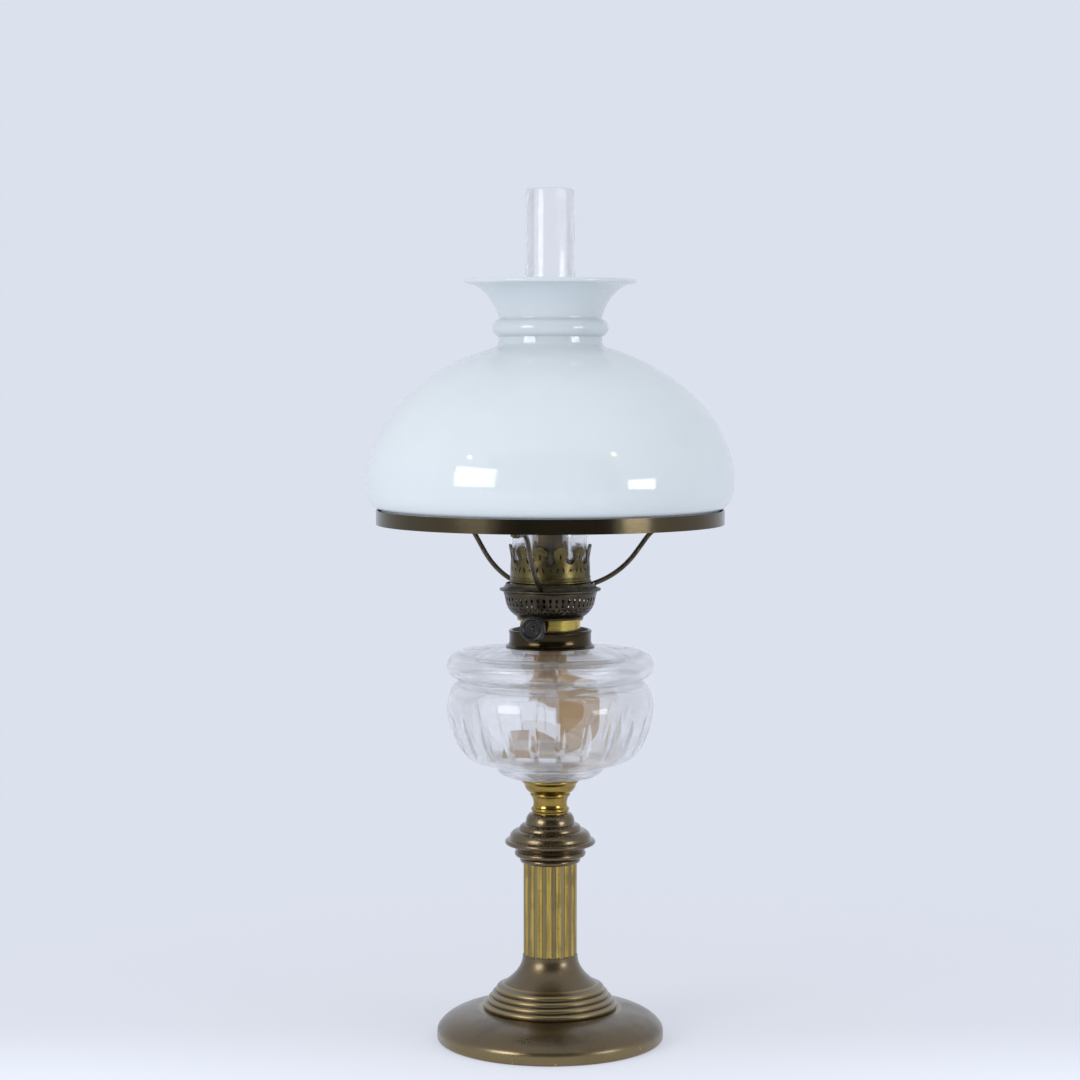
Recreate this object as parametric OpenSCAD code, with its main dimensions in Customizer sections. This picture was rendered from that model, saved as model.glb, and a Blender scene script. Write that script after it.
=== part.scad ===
// Kerosene table lamp: weighted brass foot, fluted column, clear glass font, round-wick
// burner, shade holder, opal glass shade and glass chimney.
// Lengths are millimetres. The lamp stands on z = 0 with its axis along +Z and its front at -Y.
// Angles named *_turn are counted from the front, positive towards +X.

/* [Foot] */
// Outer radius of the foot
foot_r = 78.4; // [74:0.1:90]
// Height of the upright lip
foot_lip_h = 6.2; // [5:0.1:8]
// Rounding from the lip into the dome
foot_lip_round = 6.4; // [4:0.1:7]
// Width of the turned-in rim that the foot stands on
foot_rim_w = 6; // [4:0.1:8]
// Radius where the dome meets the lowest bead
foot_dome_r = 45.5; // [44:0.1:49]
// Height where the dome meets the lowest bead
foot_dome_h = 22.2; // [21.5:0.1:25]
// Number of beads above the dome
foot_beads = 4; // [3:1:5]
// Round of each bead
foot_bead_r = 2.7; // [2.5:0.1:3.2]
// Inward step from bead to bead
foot_bead_step = 2.9; // [2.5:0.1:3.1]
// Climb from bead to bead
foot_bead_rise = 3.7; // [3.3:0.1:4]
// Height of the whole foot, up to the column
foot_h = 59.6; // [54:0.1:75]
// Radius of the flare where the column stands
foot_flare_r = 19; // [18.8:0.1:24]
// Thickness of the spun brass sheet
sheet_t = 0.9; // [0.6:0.05:1.1]

/* [Weight and tie rod] */
// Height of the cast weight at the rod
weight_h = 17.5; // [14:0.1:19]
// Height of the cast weight's outer edge
weight_edge_h = 5.6; // [4:0.1:6.5]
// Radius of the recess under the weight
weight_recess_r = 22; // [16:0.1:30]
// Depth of the recess under the weight
weight_recess_h = 10; // [9:0.1:12]
// Radius of the tie rod
rod_r = 3.5; // [2.5:0.1:4]
// Thickness of a rod nut
nut_h = 4.2; // [3:0.1:4.4]
// Width of a rod nut across its flats
nut_af = 11; // [9.5:0.1:12]
// Radius of the washer
washer_r = 12; // [9:0.1:15]
// Thickness of the washer
washer_t = 1.5; // [1:0.1:2.5]

/* [Column] */
// Radius of the column over its fillets
column_r = 18.4; // [17.6:0.1:18.6]
// Length of the column
column_h = 64; // [45:0.1:120]
// Bore of the hollow column
column_bore_r = 15.8; // [12:0.1:16]
// Number of flutes
flutes = 18; // [12:1:20]
// Round of a flute
flute_r = 2.6; // [2.2:0.1:3]
// Depth of a flute
flute_depth = 1.2; // [0.6:0.05:1.3]
// Turn of the first fillet from the front
flute_turn = 7.3; // [0:0.1:20]

/* [Capital] */
// Height of the capital
cap_h = 34.6; // [33:0.1:38]
// Radius of the capital's foot on the column
cap_base_r = 18.9; // [18.8:0.1:19.4]
// Radius of the capital's widest ridge
cap_ridge_r = 31.3; // [30.5:0.1:34]
// Height of the widest ridge
cap_ridge_h = 14.4; // [14:0.1:14.8]
// Radius of the lower dome
cap_dome_r = 28.3; // [27.5:0.1:28.8]
// Radius of the middle dome
cap_step_r = 21.5; // [21:0.1:22]
// Radius of the upper dome
cap_crown_r = 17; // [16.6:0.1:17.4]

/* [Neck and font cup] */
// Height of the neck
neck_h = 14; // [12.5:0.1:18]
// Radius of the neck's lower ring
neck_ring_r = 13.2; // [13:0.1:14]
// Radius of the neck's waist
neck_waist_r = 11.6; // [9:0.1:11.8]
// Radius of the neck's upper ring
neck_top_r = 13.8; // [13.4:0.1:14.4]
// Height of the font cup
cup_h = 10; // [9.6:0.1:13]
// Radius of the cup's rim
cup_rim_r = 20; // [19.4:0.1:21]
// Radius of the cup's floor
cup_floor_r = 13.4; // [12.6:0.1:14]

/* [Font] */
// Radius of the glass peg in the cup
peg_r = 14; // [10:0.1:14.4]
// Length of the glass peg in the cup
peg_h = 3.4; // [2.5:0.1:3.6]
// Radius where the saucer starts above the cup
saucer_r0 = 19.5; // [17:0.1:20]
// Radius of the saucer under the bowl
saucer_r = 37.4; // [34:0.1:40]
// Height of the saucer under the bowl
saucer_h = 8.6; // [8:0.1:11]
// Radius of the bowl's lower knee
knee_r = 60; // [57:0.1:62]
// Height of the bowl's lower knee
knee_h = 18.1; // [17:0.1:20]
// Slope of the wall at the knee
knee_slope = 50.5; // [48:0.5:54]
// Largest radius of the bowl
belly_r = 71.2; // [70:0.1:74]
// Height of the bowl's largest radius
belly_h = 49.6; // [47:0.1:52]
// Radius of the waist under the rim bead
waist_r = 61.7; // [60:0.1:63]
// Height of the waist under the rim bead
waist_h = 67.5; // [65:0.1:68.5]
// Round of the rim bead
bead_r = 9.1; // [8.6:0.1:9.6]
// Radius of the circle that the rim bead follows
bead_circle_r = 62.1; // [60.5:0.1:64]
// Height of the rim bead's middle
bead_h = 78.6; // [78:0.1:80]
// Height of the font up to the collar's seat
font_h = 91; // [90:0.1:94]
// Radius of the flat seat under the collar
font_seat_r = 31.4; // [31:0.1:34]
// Outer radius of the glass neck inside the collar
font_neck_r = 26.4; // [26.2:0.1:26.6]
// Height of the glass neck inside the collar
font_neck_h = 6.6; // [4:0.1:7.4]
// Thickness of the font's glass
font_t = 3.2; // [2.8:0.1:3.6]
// Thickness of the glass neck
font_neck_t = 2; // [1.6:0.1:2.1]
// Number of olive cuts round the bowl
olives = 24; // [16:1:28]
// Round of an olive cut
olive_r = 4.2; // [3.5:0.1:5]
// Depth of an olive cut
olive_depth = 1.5; // [1:0.05:1.8]
// Radius of the bowl at the middle of an olive cut
olive_at_r = 65.7; // [65.5:0.1:66]
// Height of the middle of an olive cut
olive_at_h = 27.6; // [27:0.1:28.5]
// Slope of an olive cut from upright
olive_slope = 27.3; // [25:0.1:29]
// Turn of the first olive cut from the front
olive_turn = 5.5; // [0:0.1:15]

/* [Collar] */
// Radius of the collar's lower flange
collar_flange_r = 30.6; // [29.6:0.1:30.9]
// Radius of the collar's wall
collar_r = 28.2; // [28.1:0.1:28.8]
// Height of the collar's rim over the font
collar_h = 12.1; // [11.8:0.1:13]
// Height of the collar's deck that the burner stands on
deck_h = 10.6; // [9.8:0.1:11]
// Thickness of the collar's walls
collar_t = 1; // [0.8:0.05:1.1]
// Radius of the collar's threaded bore
thread_r = 23; // [22.6:0.1:23.2]
// Length of the collar's threaded bore
thread_h = 8; // [6:0.1:9]

/* [Burner] */
// Radius of the burner's bright neck
burner_neck_r = 20.8; // [20.4:0.1:21.4]
// Height of the burner's neck and lip over the deck
burner_neck_h = 9.2; // [9.1:0.1:14]
// Radius of the burner's flange on the deck
burner_flange_r = 25.8; // [24.5:0.1:26.2]
// Radius of the lip under the basket
burner_lip_r = 22.8; // [22:0.1:23]
// Length of the burner's screw skirt
skirt_h = 7; // [5:0.1:7.6]
// Height of the air basket
basket_h = 19.3; // [19:0.1:22]
// Largest radius of the air basket
basket_r = 32.2; // [31.8:0.1:32.4]
// Thickness of the basket's sheet
basket_t = 0.7; // [0.5:0.05:0.9]
// Number of pierced columns round the basket
basket_holes = 45; // [30:1:46]
// Half width of the large upright holes
basket_hole_r = 0.95; // [0.7:0.05:1.1]
// Length that the large holes add to their round ends
basket_hole_len = 0.9; // [0.4:0.05:1.2]
// Radius of the middle holes
basket_mid_hole_r = 0.85; // [0.6:0.05:1]
// Radius of the small holes
basket_small_hole_r = 0.6; // [0.4:0.05:0.7]
// Thickness of the gallery plate
plate_t = 1; // [0.6:0.05:1.4]
// Outer radius of the gallery plate
plate_r = 29.2; // [28.8:0.1:29.4]
// Number of air holes in each ring of the gallery plate
plate_holes = 24; // [16:1:28]

/* [Crown] */
// Height of the crown
crown_h = 30.2; // [29:0.1:33]
// Outer radius of the crown's wall
crown_r = 27.2; // [27:0.1:27.5]
// Radius of the crown's base band
crown_base_r = 28.2; // [28:0.1:28.8]
// Radius of the crown over its flared tips
crown_tip_r = 29; // [28:0.1:29.2]
// Thickness of the crown's sheet
crown_t = 0.6; // [0.4:0.05:0.7]
// Number of prongs
prongs = 12; // [10:1:14]
// Radius of the round gap between two prongs
gap_r = 3.4; // [2.8:0.1:3.6]
// Height of the round gaps
gap_h = 21.6; // [21:0.1:22]
// Radius of the notch above a round gap
notch_r = 2.2; // [1.8:0.05:2.4]
// Height of the notches
notch_h = 26; // [25.6:0.1:26.4]
// Round that points the prong tips
tip_cut_r = 6; // [5.4:0.1:6.2]
// Height of the small piercings
pierce_h = 14.4; // [13.5:0.1:14.8]

/* [Wick and tubes] */
// Inner radius of the wick tube
tube_r = 11.6; // [11.4:0.05:11.7]
// Outer radius of the wick tube below the gallery plate
tube_low_r = 12.2; // [12.1:0.05:12.4]
// Outer radius of the wick tube just above the gallery plate
tube_wide_r = 13; // [12.6:0.05:13.4]
// Outer radius of the wick tube at its mouth
tube_mouth_r = 12.1; // [12:0.05:12.4]
// Height of the wick tube above the crown's base
tube_h = 49.5; // [44:0.1:52]
// Outer radius of the inner draft tube
draft_r = 8.8; // [8:0.05:8.9]
// Thickness of the draft tube
draft_t = 0.6; // [0.4:0.05:1]
// Thickness of the wick
wick_t = 2.2; // [1.6:0.05:2.2]
// Gap between the wick and each tube
wick_gap = 0.3; // [0.25:0.05:0.3]
// Height of the wick over its tube
wick_proud = 1; // [0:0.1:3]
// Width of the long tail
tail_w = 30; // [22:0.5:32]
// Width of the short tail
tail_short_w = 22; // [14:0.5:24]
// Drop of the short tail's end below the collar
tail_short_drop = 42; // [34:0.5:50]

/* [Wick drive] */
// Radius of the wick shaft
shaft_r = 1.5; // [1.2:0.05:1.6]
// Height of the shaft over the collar's deck
shaft_h = 6.2; // [6:0.05:6.4]
// Sideways offset of the shaft from the lamp's axis
shaft_offset = 3; // [2.6:0.1:3.2]
// Turn of the shaft from the front
shaft_turn = -11.3; // [-40:0.1:40]
// Reach of the knob's face from the lamp's axis
knob_reach = 48; // [44:0.5:56]
// Radius of the knob
knob_r = 9; // [7.5:0.1:10]
// Thickness of the knob's rim
knob_t = 3.6; // [3:0.1:5]
// Radius of the cogs over their teeth
cog_r = 5.3; // [4.8:0.05:5.4]
// Number of teeth on a cog
cog_teeth = 10; // [8:1:14]
// Thickness of a cog
cog_t = 1.2; // [0.8:0.05:1.4]
// Outer radius of the shaft's bush
bush_r = 2; // [1.9:0.05:2]

/* [Shade holder] */
// Bore of the seat ring
seat_bore_r = 29.9; // [29.7:0.05:30.2]
// Radius of the seat ring's lip
seat_lip_r = 34.9; // [34:0.1:37]
// Height of the seat ring
seat_h = 5.1; // [4.5:0.1:6]
// Radius of a rod arm
arm_r = 1.7; // [1.3:0.05:2]
// Number of arms
arms = 3; // [3:1:3]
// Turn of the first arm from the front
arm_turn = -12; // [-60:0.5:60]
// Slope of an arm where it leaves the seat ring
arm_slope_low = 15; // [12:0.5:20]
// Slope of an arm's straight stretch
arm_slope = 52; // [46:0.5:56]
// Radius of an arm's lower bend
arm_bend_low = 60; // [50:0.5:64]
// Radius of an arm's upper bend
arm_bend_high = 24; // [18:0.5:27]
// Height of the shade ring over the basket
holder_h = 45.8; // [44.5:0.1:56]
// Outer radius of the shade ring
ring_r = 119.5; // [119:0.1:122]
// Height of the shade ring's band
ring_h = 9.8; // [7:0.1:12]
// Thickness of the shade ring's band and ledge
ring_t = 1; // [0.8:0.05:1.4]
// Width of the ledge inside the band
ledge_w = 12.5; // [11.5:0.1:14]
// Width of an arm's flattened end
pad_w = 6.4; // [5:0.1:8]
// Thickness of an arm's flattened end
pad_t = 1.8; // [1.4:0.1:2.4]
// Length of an arm's flattened end
pad_len = 12; // [10:0.1:14]
// Radius of a rivet
rivet_r = 1.3; // [1:0.05:1.5]

/* [Shade] */
// Thickness of the opal glass
shade_t = 3; // [2.4:0.1:3.4]
// Radius of the shade's upright rim
shade_rim_r = 116.2; // [115.6:0.1:117]
// Height of the shade's upright rim
shade_rim_h = 8.7; // [7:0.1:10]
// Largest radius of the shade
shade_r = 126.4; // [124:0.1:130]
// Height of the shade's largest radius
shade_belly_h = 28.7; // [26:0.1:32]
// Height of the dome over the largest radius
shade_dome_h = 96.5; // [85:0.1:110]
// Squareness of the dome, 2 is an ellipse
shade_dome_power = 1.9; // [1.8:0.01:2.1]
// Radius of the shade's neck
shade_neck_r = 35.6; // [34.5:0.1:38]
// Height of the neck bead's middle over the dome
shade_bead_rise = 12.4; // [11:0.1:14]
// Bulge of the neck bead
shade_bead_bulge = 4.2; // [3.6:0.1:5]
// Half height of the neck bead
shade_bead_half = 6; // [5.4:0.1:6.4]
// Height of the flared rim over the neck bead's middle
shade_flare_h = 30; // [27:0.1:34]
// Radius of the flared rim
shade_top_r = 59.5; // [54:0.1:64]

/* [Chimney] */
// Thickness of the chimney's glass
chimney_t = 1.6; // [1.2:0.05:1.8]
// Outer radius of the chimney's base
chimney_r = 26.2; // [26:0.05:26.3]
// Height of the chimney's wide base
chimney_base_h = 37; // [35:0.1:42]
// Outer radius of the chimney's waist
chimney_waist_r = 14.8; // [14.6:0.1:17]
// Height of the chimney's waist
chimney_waist_h = 59; // [57:0.1:64]
// Outer radius of the tube just above the waist
chimney_tube_r = 18.4; // [17:0.1:20]
// Outer radius of the chimney's mouth
chimney_top_r = 16.4; // [15:0.1:19]
// Height of the chimney
chimney_h = 272.2; // [230:0.1:300]

/* [Clearances] */
// Radial gap between parts that are pressed, screwed or soldered together
fit_gap = 0.05; // [0.02:0.01:0.1]
// Radial gap of parts that slide or turn on one another
run_gap = 0.08; // [0.03:0.01:0.1]
// Gap left by soft bedding such as plaster
bed_gap = 0.1; // [0.05:0.01:0.2]

/* [Hidden] */
$fn = 96;

// Colours of the finishes
bronze = [0.30, 0.24, 0.16];
brass = [0.72, 0.56, 0.22];
steel = [0.55, 0.55, 0.56];
iron = [0.22, 0.21, 0.20];
plaster = [0.85, 0.82, 0.75];
clear_glass = [0.85, 0.92, 0.95, 0.35];
opal_glass = [0.90, 0.95, 0.95];
cotton = [0.76, 0.62, 0.42];
gunmetal = [0.24, 0.24, 0.26];

// Heights of the stack, from the table up
z_column = foot_h;
z_cap = z_column + column_h;
z_neck = z_cap + cap_h;
z_cup = z_neck + neck_h;
z_font = z_cup + cup_h + bed_gap;
z_collar = z_font + font_h;
z_deck = z_collar + deck_h;
z_basket = z_deck + burner_neck_h;
z_gallery = z_basket + basket_h;
z_crown = z_gallery + plate_t;
z_ring = z_gallery + holder_h;
z_shade = z_ring + ring_t;
z_shaft = z_deck + shaft_h;

// How far a cutter reaches past the faces that it cuts
cut = 1;
// Radius of the tie rod's hole in each piece that it passes
rod_hole_r = rod_r + fit_gap;
// Height of the tie rod's lower end
rod_z0 = 2;

// Profile helpers: points are [radius, height]
function arc(c, r, a0, a1, n = 8) =
    [for (i = [0:n]) let (a = a0 + (a1 - a0) * i / n) [c[0] + r * cos(a), c[1] + r * sin(a)]];
function oval(c, rx, ry, a0, a1, n = 8) =
    [for (i = [0:n]) let (a = a0 + (a1 - a0) * i / n) [c[0] + rx * cos(a), c[1] + ry * sin(a)]];
function bend(p, q, s, n = 8) =
    [for (i = [0:n]) let (t = i / n) (1 - t) * (1 - t) * p + 2 * t * (1 - t) * q + t * t * s];
function reversed(p) = [for (i = [len(p) - 1:-1:0]) p[i]];
// Drops points that lie on the one before
function tidy(p) = [for (i = [0:len(p) - 1]) if (i == 0 || norm(p[i] - p[max(i, 1) - 1]) > 0.02) p[i]];
function left_of(d) = [-d[1], d[0]] / norm(d);
// The same outline moved to its left by t, with mitred corners
function beside(p, t) =
    let (n = len(p) - 1)
    [for (i = [0:n])
        let (a = left_of(i == 0 ? p[1] - p[0] : p[i] - p[i - 1]),
             b = left_of(i == n ? p[n] - p[n - 1] : p[i + 1] - p[i]),
             m = a + b)
        p[i] + 2 * t * m / (m * m)];

// Sheet of thickness t whose outer face is the turned outline p; its inner face lies to the left
module sheet(p, t) {
    outer = tidy(p);
    rotate_extrude() polygon(concat(outer, reversed(beside(outer, t))));
}

module turned(p) {
    rotate_extrude() polygon(tidy(p));
}

// A flat shape, x sideways and y up, pushed out towards the turn angle from radius r0 to r1
module radial(turn, r0, r1) {
    rotate([0, 0, turn]) rotate([90, 0, 0]) translate([0, 0, r0])
        linear_extrude(height = r1 - r0) children();
}

// Frame of the wick shaft: origin on the shaft beside the lamp's axis, +Z out towards the knob
module on_shaft() {
    rotate([0, 0, shaft_turn]) translate([-shaft_offset, 0, z_shaft]) rotate([90, 0, 0]) children();
}

// Frame of an arm: x outwards, y up
module in_arm_plane(turn) {
    rotate([0, 0, turn - 90]) rotate([90, 0, 0]) children();
}

// Foot
foot_edge_round = 2.4;
foot_top_round = 0.6;
foot_lip_end = 35;
foot_lip_reach = 13.3;
foot_flare_pull = 0.45;
foot_bead_angle = atan2(foot_bead_rise, -foot_bead_step);
foot_bead_half = acos(norm([foot_bead_step, foot_bead_rise]) / 2 / foot_bead_r);
function foot_bead_c(i) =
    [foot_dome_r - foot_bead_r * cos(45) - i * foot_bead_step,
     foot_dome_h + foot_bead_r * sin(45) + i * foot_bead_rise];
function foot_outline() =
    let (lip = arc([foot_r - foot_lip_round, foot_lip_h], foot_lip_round, 0, foot_lip_end),
         lip_end = lip[len(lip) - 1],
         toward = [-sin(foot_lip_end), cos(foot_lip_end)],
         last = arc(foot_bead_c(foot_beads - 1), foot_bead_r, 0, foot_bead_angle - foot_bead_half, 1)[1],
         flare = [foot_flare_r, foot_h - foot_top_round])
    concat(
        [[foot_r - foot_rim_w, 0]],
        arc([foot_r - foot_edge_round, foot_edge_round], foot_edge_round, -90, 0, 4),
        lip,
        bend(lip_end, lip_end + foot_lip_reach * toward, [foot_dome_r, foot_dome_h]),
        [for (i = [0:foot_beads - 1])
            each arc(foot_bead_c(i), foot_bead_r,
                     i == 0 ? -45 : foot_bead_angle - 180 + foot_bead_half,
                     foot_bead_angle - foot_bead_half, 6)],
        bend(last, [foot_flare_r, last[1] + foot_flare_pull * (foot_h - last[1])], flare, 12),
        [[foot_flare_r - foot_top_round, foot_h], [rod_hole_r, foot_h]]);

module foot_shell() {
    color(bronze) sheet(foot_outline(), sheet_t);
}

weight_gap = 1.6;
weight_slope_w = 6;
weight_slope_h = 5;
weight_z = sheet_t;
module foot_weight() {
    edge_r = foot_r - sheet_t - weight_gap;
    color(iron) translate([0, 0, weight_z])
        turned([
            [weight_recess_r, 0],
            [edge_r, 0],
            [edge_r, weight_edge_h],
            [edge_r - weight_slope_w, weight_edge_h + weight_slope_h],
            [foot_dome_r, weight_h],
            [rod_hole_r, weight_h],
            [rod_hole_r, weight_recess_h],
            [weight_recess_r, weight_recess_h]
        ]);
}

rod_top_z = z_cup + sheet_t + nut_h + bed_gap;
module tie_rod() {
    color(steel) translate([0, 0, rod_z0]) cylinder(r = rod_r, h = rod_top_z - rod_z0);
}

module rod_nut() {
    difference() {
        cylinder(d = nut_af / cos(30), h = nut_h, $fn = 6);
        translate([0, 0, -cut]) cylinder(r = rod_hole_r, h = nut_h + 2 * cut);
    }
}

washer_z = weight_z + weight_recess_h - washer_t;
module rod_nuts() {
    color(steel) {
        translate([0, 0, washer_z - nut_h]) rod_nut();
        translate([0, 0, z_cup + sheet_t]) rod_nut();
    }
}

module rod_washer() {
    color(steel) translate([0, 0, washer_z])
        turned([[rod_hole_r, 0], [washer_r, 0], [washer_r, washer_t], [rod_hole_r, washer_t]]);
}

// Column with flutes from end to end between narrow fillets
module column() {
    flute_c = column_r + flute_r - flute_depth;
    color(brass) translate([0, 0, z_column])
        difference() {
            cylinder(r = column_r, h = column_h);
            translate([0, 0, -cut]) cylinder(r = column_bore_r, h = column_h + 2 * cut);
            for (i = [0:flutes - 1])
                rotate([0, 0, flute_turn + (i + 0.5) * 360 / flutes]) translate([0, -flute_c, -cut])
                    cylinder(r = flute_r, h = column_h + 2 * cut);
        }
}

// Capital of stacked rings
cap_low_bead_r = 2.1;
cap_mid_bead_r = 2.4;
cap_mid_bead_c = [22.2, 6.6];
cap_ridge_round = 1.9;
cap_dome_h = 6.5;
cap_dome_w = 5.8;
cap_step_h = 3.8;
cap_step_w = 3.6;
cap_crown_w = 4;
cap_tread = 0.2;
cap_cove_w = 1.6;
cap_cove_drop = 1.2;
function cap_outline() =
    let (low = arc([cap_base_r, cap_low_bead_r], cap_low_bead_r, -90, 70, 6),
         mid = arc(cap_mid_bead_c, cap_mid_bead_r, -60, 55, 6),
         ridge = arc([cap_ridge_r - cap_ridge_round, cap_ridge_h], cap_ridge_round, -75, 80),
         cove0 = mid[len(mid) - 1],
         dome_z = cap_ridge_h + cap_ridge_round + cap_tread,
         step_z = dome_z + cap_dome_h + cap_tread,
         crown_z = step_z + cap_step_h + cap_tread)
    concat(
        [[rod_hole_r, 0]],
        low,
        mid,
        bend(cove0, [cove0[0] + cap_cove_w, cap_ridge_h - cap_ridge_round - cap_cove_drop], ridge[0], 5),
        ridge,
        oval([cap_dome_r - cap_dome_w, dome_z], cap_dome_w, cap_dome_h, 0, 90),
        oval([cap_step_r - cap_step_w, step_z], cap_step_w, cap_step_h, 0, 90, 6),
        oval([cap_crown_r - cap_crown_w, crown_z], cap_crown_w, cap_h - crown_z, 0, 90),
        [[rod_hole_r, cap_h]]);

module capital() {
    color(bronze) translate([0, 0, z_cap]) sheet(cap_outline(), sheet_t);
}

neck_ring_round = 1.6;
neck_ring_h = 2.6;
neck_top_cut = 1;
module neck() {
    low = arc([neck_ring_r - neck_ring_round, neck_ring_h], neck_ring_round, -80, 75, 6);
    high = arc([neck_top_r - neck_ring_round, neck_h - neck_top_cut], neck_ring_round,
               -70, asin(neck_top_cut / neck_ring_round), 6);
    color(brass) translate([0, 0, z_neck])
        turned(concat(
            [[rod_hole_r, 0], [low[0][0], 0]],
            low,
            bend(low[6], [2 * neck_waist_r - (low[6][0] + high[0][0]) / 2, neck_h / 2], high[0]),
            high,
            [[rod_hole_r, neck_h]]));
}

cup_rim_round = 1.2;
cup_rim_out = 2;
cup_wall_h = 6;
cup_belly_out = 2.8;
cup_belly_h = 1.6;
function cup_outline() =
    let (rim_c = [cup_rim_r - cup_rim_round, cup_h - cup_rim_round])
    concat(
        [[rod_hole_r, 0]],
        bend([cup_floor_r, 0], [cup_rim_r - cup_belly_out, cup_belly_h],
             [cup_rim_r - cup_rim_out, cup_wall_h]),
        arc(rim_c, cup_rim_round, -50, 90, 6));

module font_cup() {
    color(brass) translate([0, 0, z_cup]) sheet(cup_outline(), sheet_t);
}

peg_z = z_font - peg_h;
module font_cement() {
    floor_z = rod_top_z - z_cup + bed_gap;
    top_z = cup_h - 2 * cup_rim_round;
    wall_r = cup_rim_r - cup_rim_out - sheet_t - 2 * bed_gap;
    color(plaster) translate([0, 0, z_cup])
        turned([
            [nut_af / 2, floor_z],
            [wall_r, floor_z],
            [wall_r, top_z],
            [peg_r + bed_gap, top_z],
            [peg_r + bed_gap, peg_z - z_cup],
            [nut_af / 2, peg_z - z_cup]
        ]);
}

// Font: one blown wall from the saucer to the flat seat of the collar
knee_up = 14.9;
knee_down = 8.7;
crease = 0.4;
waist_lip = 1;
shoulder_crease = 150;
function font_wall() =
    let (knee = [knee_r, knee_h],
         run = [cos(knee_slope), sin(knee_slope)],
         rim = arc([bead_circle_r, bead_h], bead_r, -95, shoulder_crease, 20),
         rim_end = rim[len(rim) - 1])
    concat(
        oval([saucer_r0, saucer_h], saucer_r - saucer_r0, saucer_h, -90, 0),
        bend([saucer_r + crease, saucer_h + crease], knee - knee_down * run, knee),
        bend(knee, knee + knee_up * run, [belly_r, belly_h], 10),
        oval([waist_r, belly_h], belly_r - waist_r, waist_h - belly_h, 0, 85),
        [[waist_r - crease, waist_h + waist_lip]],
        rim,
        bend(rim_end, [(rim_end[0] + font_seat_r) / 2, font_h - crease], [font_seat_r, font_h]));

module font() {
    wall = tidy(font_wall());
    inner = beside(concat(wall, [[font_neck_r, font_h]]), font_t);
    neck_in = font_neck_r - font_neck_t;
    color(clear_glass) translate([0, 0, z_font])
        difference() {
            turned(concat(
                [[0, -peg_h], [peg_r, -peg_h], [peg_r, 0]],
                wall,
                [[font_neck_r, font_h],
                 [font_neck_r, font_h + font_neck_h],
                 [neck_in, font_h + font_neck_h],
                 [neck_in, font_h - font_t]],
                reversed([for (i = [0:len(inner) - 2]) inner[i]]),
                [[0, font_t]]));
            for (i = [0:olives - 1])
                rotate([0, 0, olive_turn - 90 + i * 360 / olives])
                    translate([olive_at_r, 0, olive_at_h]) rotate([0, olive_slope, 0])
                        translate([olive_r - olive_depth, 0, 0])
                            cylinder(r = olive_r, h = belly_h, center = true);
        }
}

module collar_cement() {
    wall = collar_r - collar_t - bed_gap;
    sleeve = thread_r + collar_t + bed_gap;
    color(plaster) translate([0, 0, z_collar])
        turned([
            [font_neck_r + bed_gap, bed_gap],
            [wall, bed_gap],
            [wall, deck_h - collar_t],
            [sleeve, deck_h - collar_t],
            [sleeve, font_neck_h],
            [font_neck_r + bed_gap, font_neck_h]
        ]);
}

// Collar: flange, wall with a rolled rim, sunk deck and threaded sleeve
collar_roll = 1.2;
collar_roll_out = 0.4;
collar_lip_h = 1.1;
collar_cove_w = 0.4;
collar_cove_h = 1.8;
collar_foot_h = 4;
collar_rim_h = 2.7;
module collar() {
    flange_top = bend([collar_flange_r, collar_lip_h], [collar_r + collar_cove_w, collar_cove_h],
                      [collar_r, collar_foot_h], 6);
    rim = arc([collar_r - collar_roll + collar_roll_out, collar_h - collar_roll], collar_roll, -20, 180, 10);
    color(bronze) translate([0, 0, z_collar])
        turned(concat(
            [[collar_r - collar_t, 0], [collar_flange_r, 0]],
            flange_top,
            [[collar_r, collar_h - collar_rim_h]],
            rim,
            [[rim[10][0], deck_h],
             [thread_r, deck_h],
             [thread_r, deck_h - thread_h],
             [thread_r + collar_t, deck_h - thread_h],
             [thread_r + collar_t, deck_h - collar_t],
             [collar_r - collar_t, deck_h - collar_t]]));
}

// Burner base: screw skirt, flange on the deck, bright neck and lip
neck_wall = 1;
tube_hole_r = tube_low_r + fit_gap;
bush_hole_r = bush_r + fit_gap;
module burner_base() {
    skirt_r = thread_r - run_gap;
    inner_r = burner_neck_r - neck_wall;
    color(brass)
        difference() {
            translate([0, 0, z_deck])
                turned([
                    [tube_hole_r, -skirt_h],
                    [skirt_r, -skirt_h],
                    [skirt_r, 0],
                    [burner_flange_r, 0],
                    [burner_flange_r, neck_wall],
                    [burner_neck_r, neck_wall],
                    [burner_neck_r, burner_neck_h - neck_wall],
                    [burner_lip_r, burner_neck_h - neck_wall],
                    [burner_lip_r, burner_neck_h],
                    [inner_r, burner_neck_h],
                    [inner_r, neck_wall - skirt_h],
                    [tube_hole_r, neck_wall - skirt_h]
                ]);
            on_shaft() cylinder(r = bush_hole_r, h = burner_flange_r);
        }
}

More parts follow.
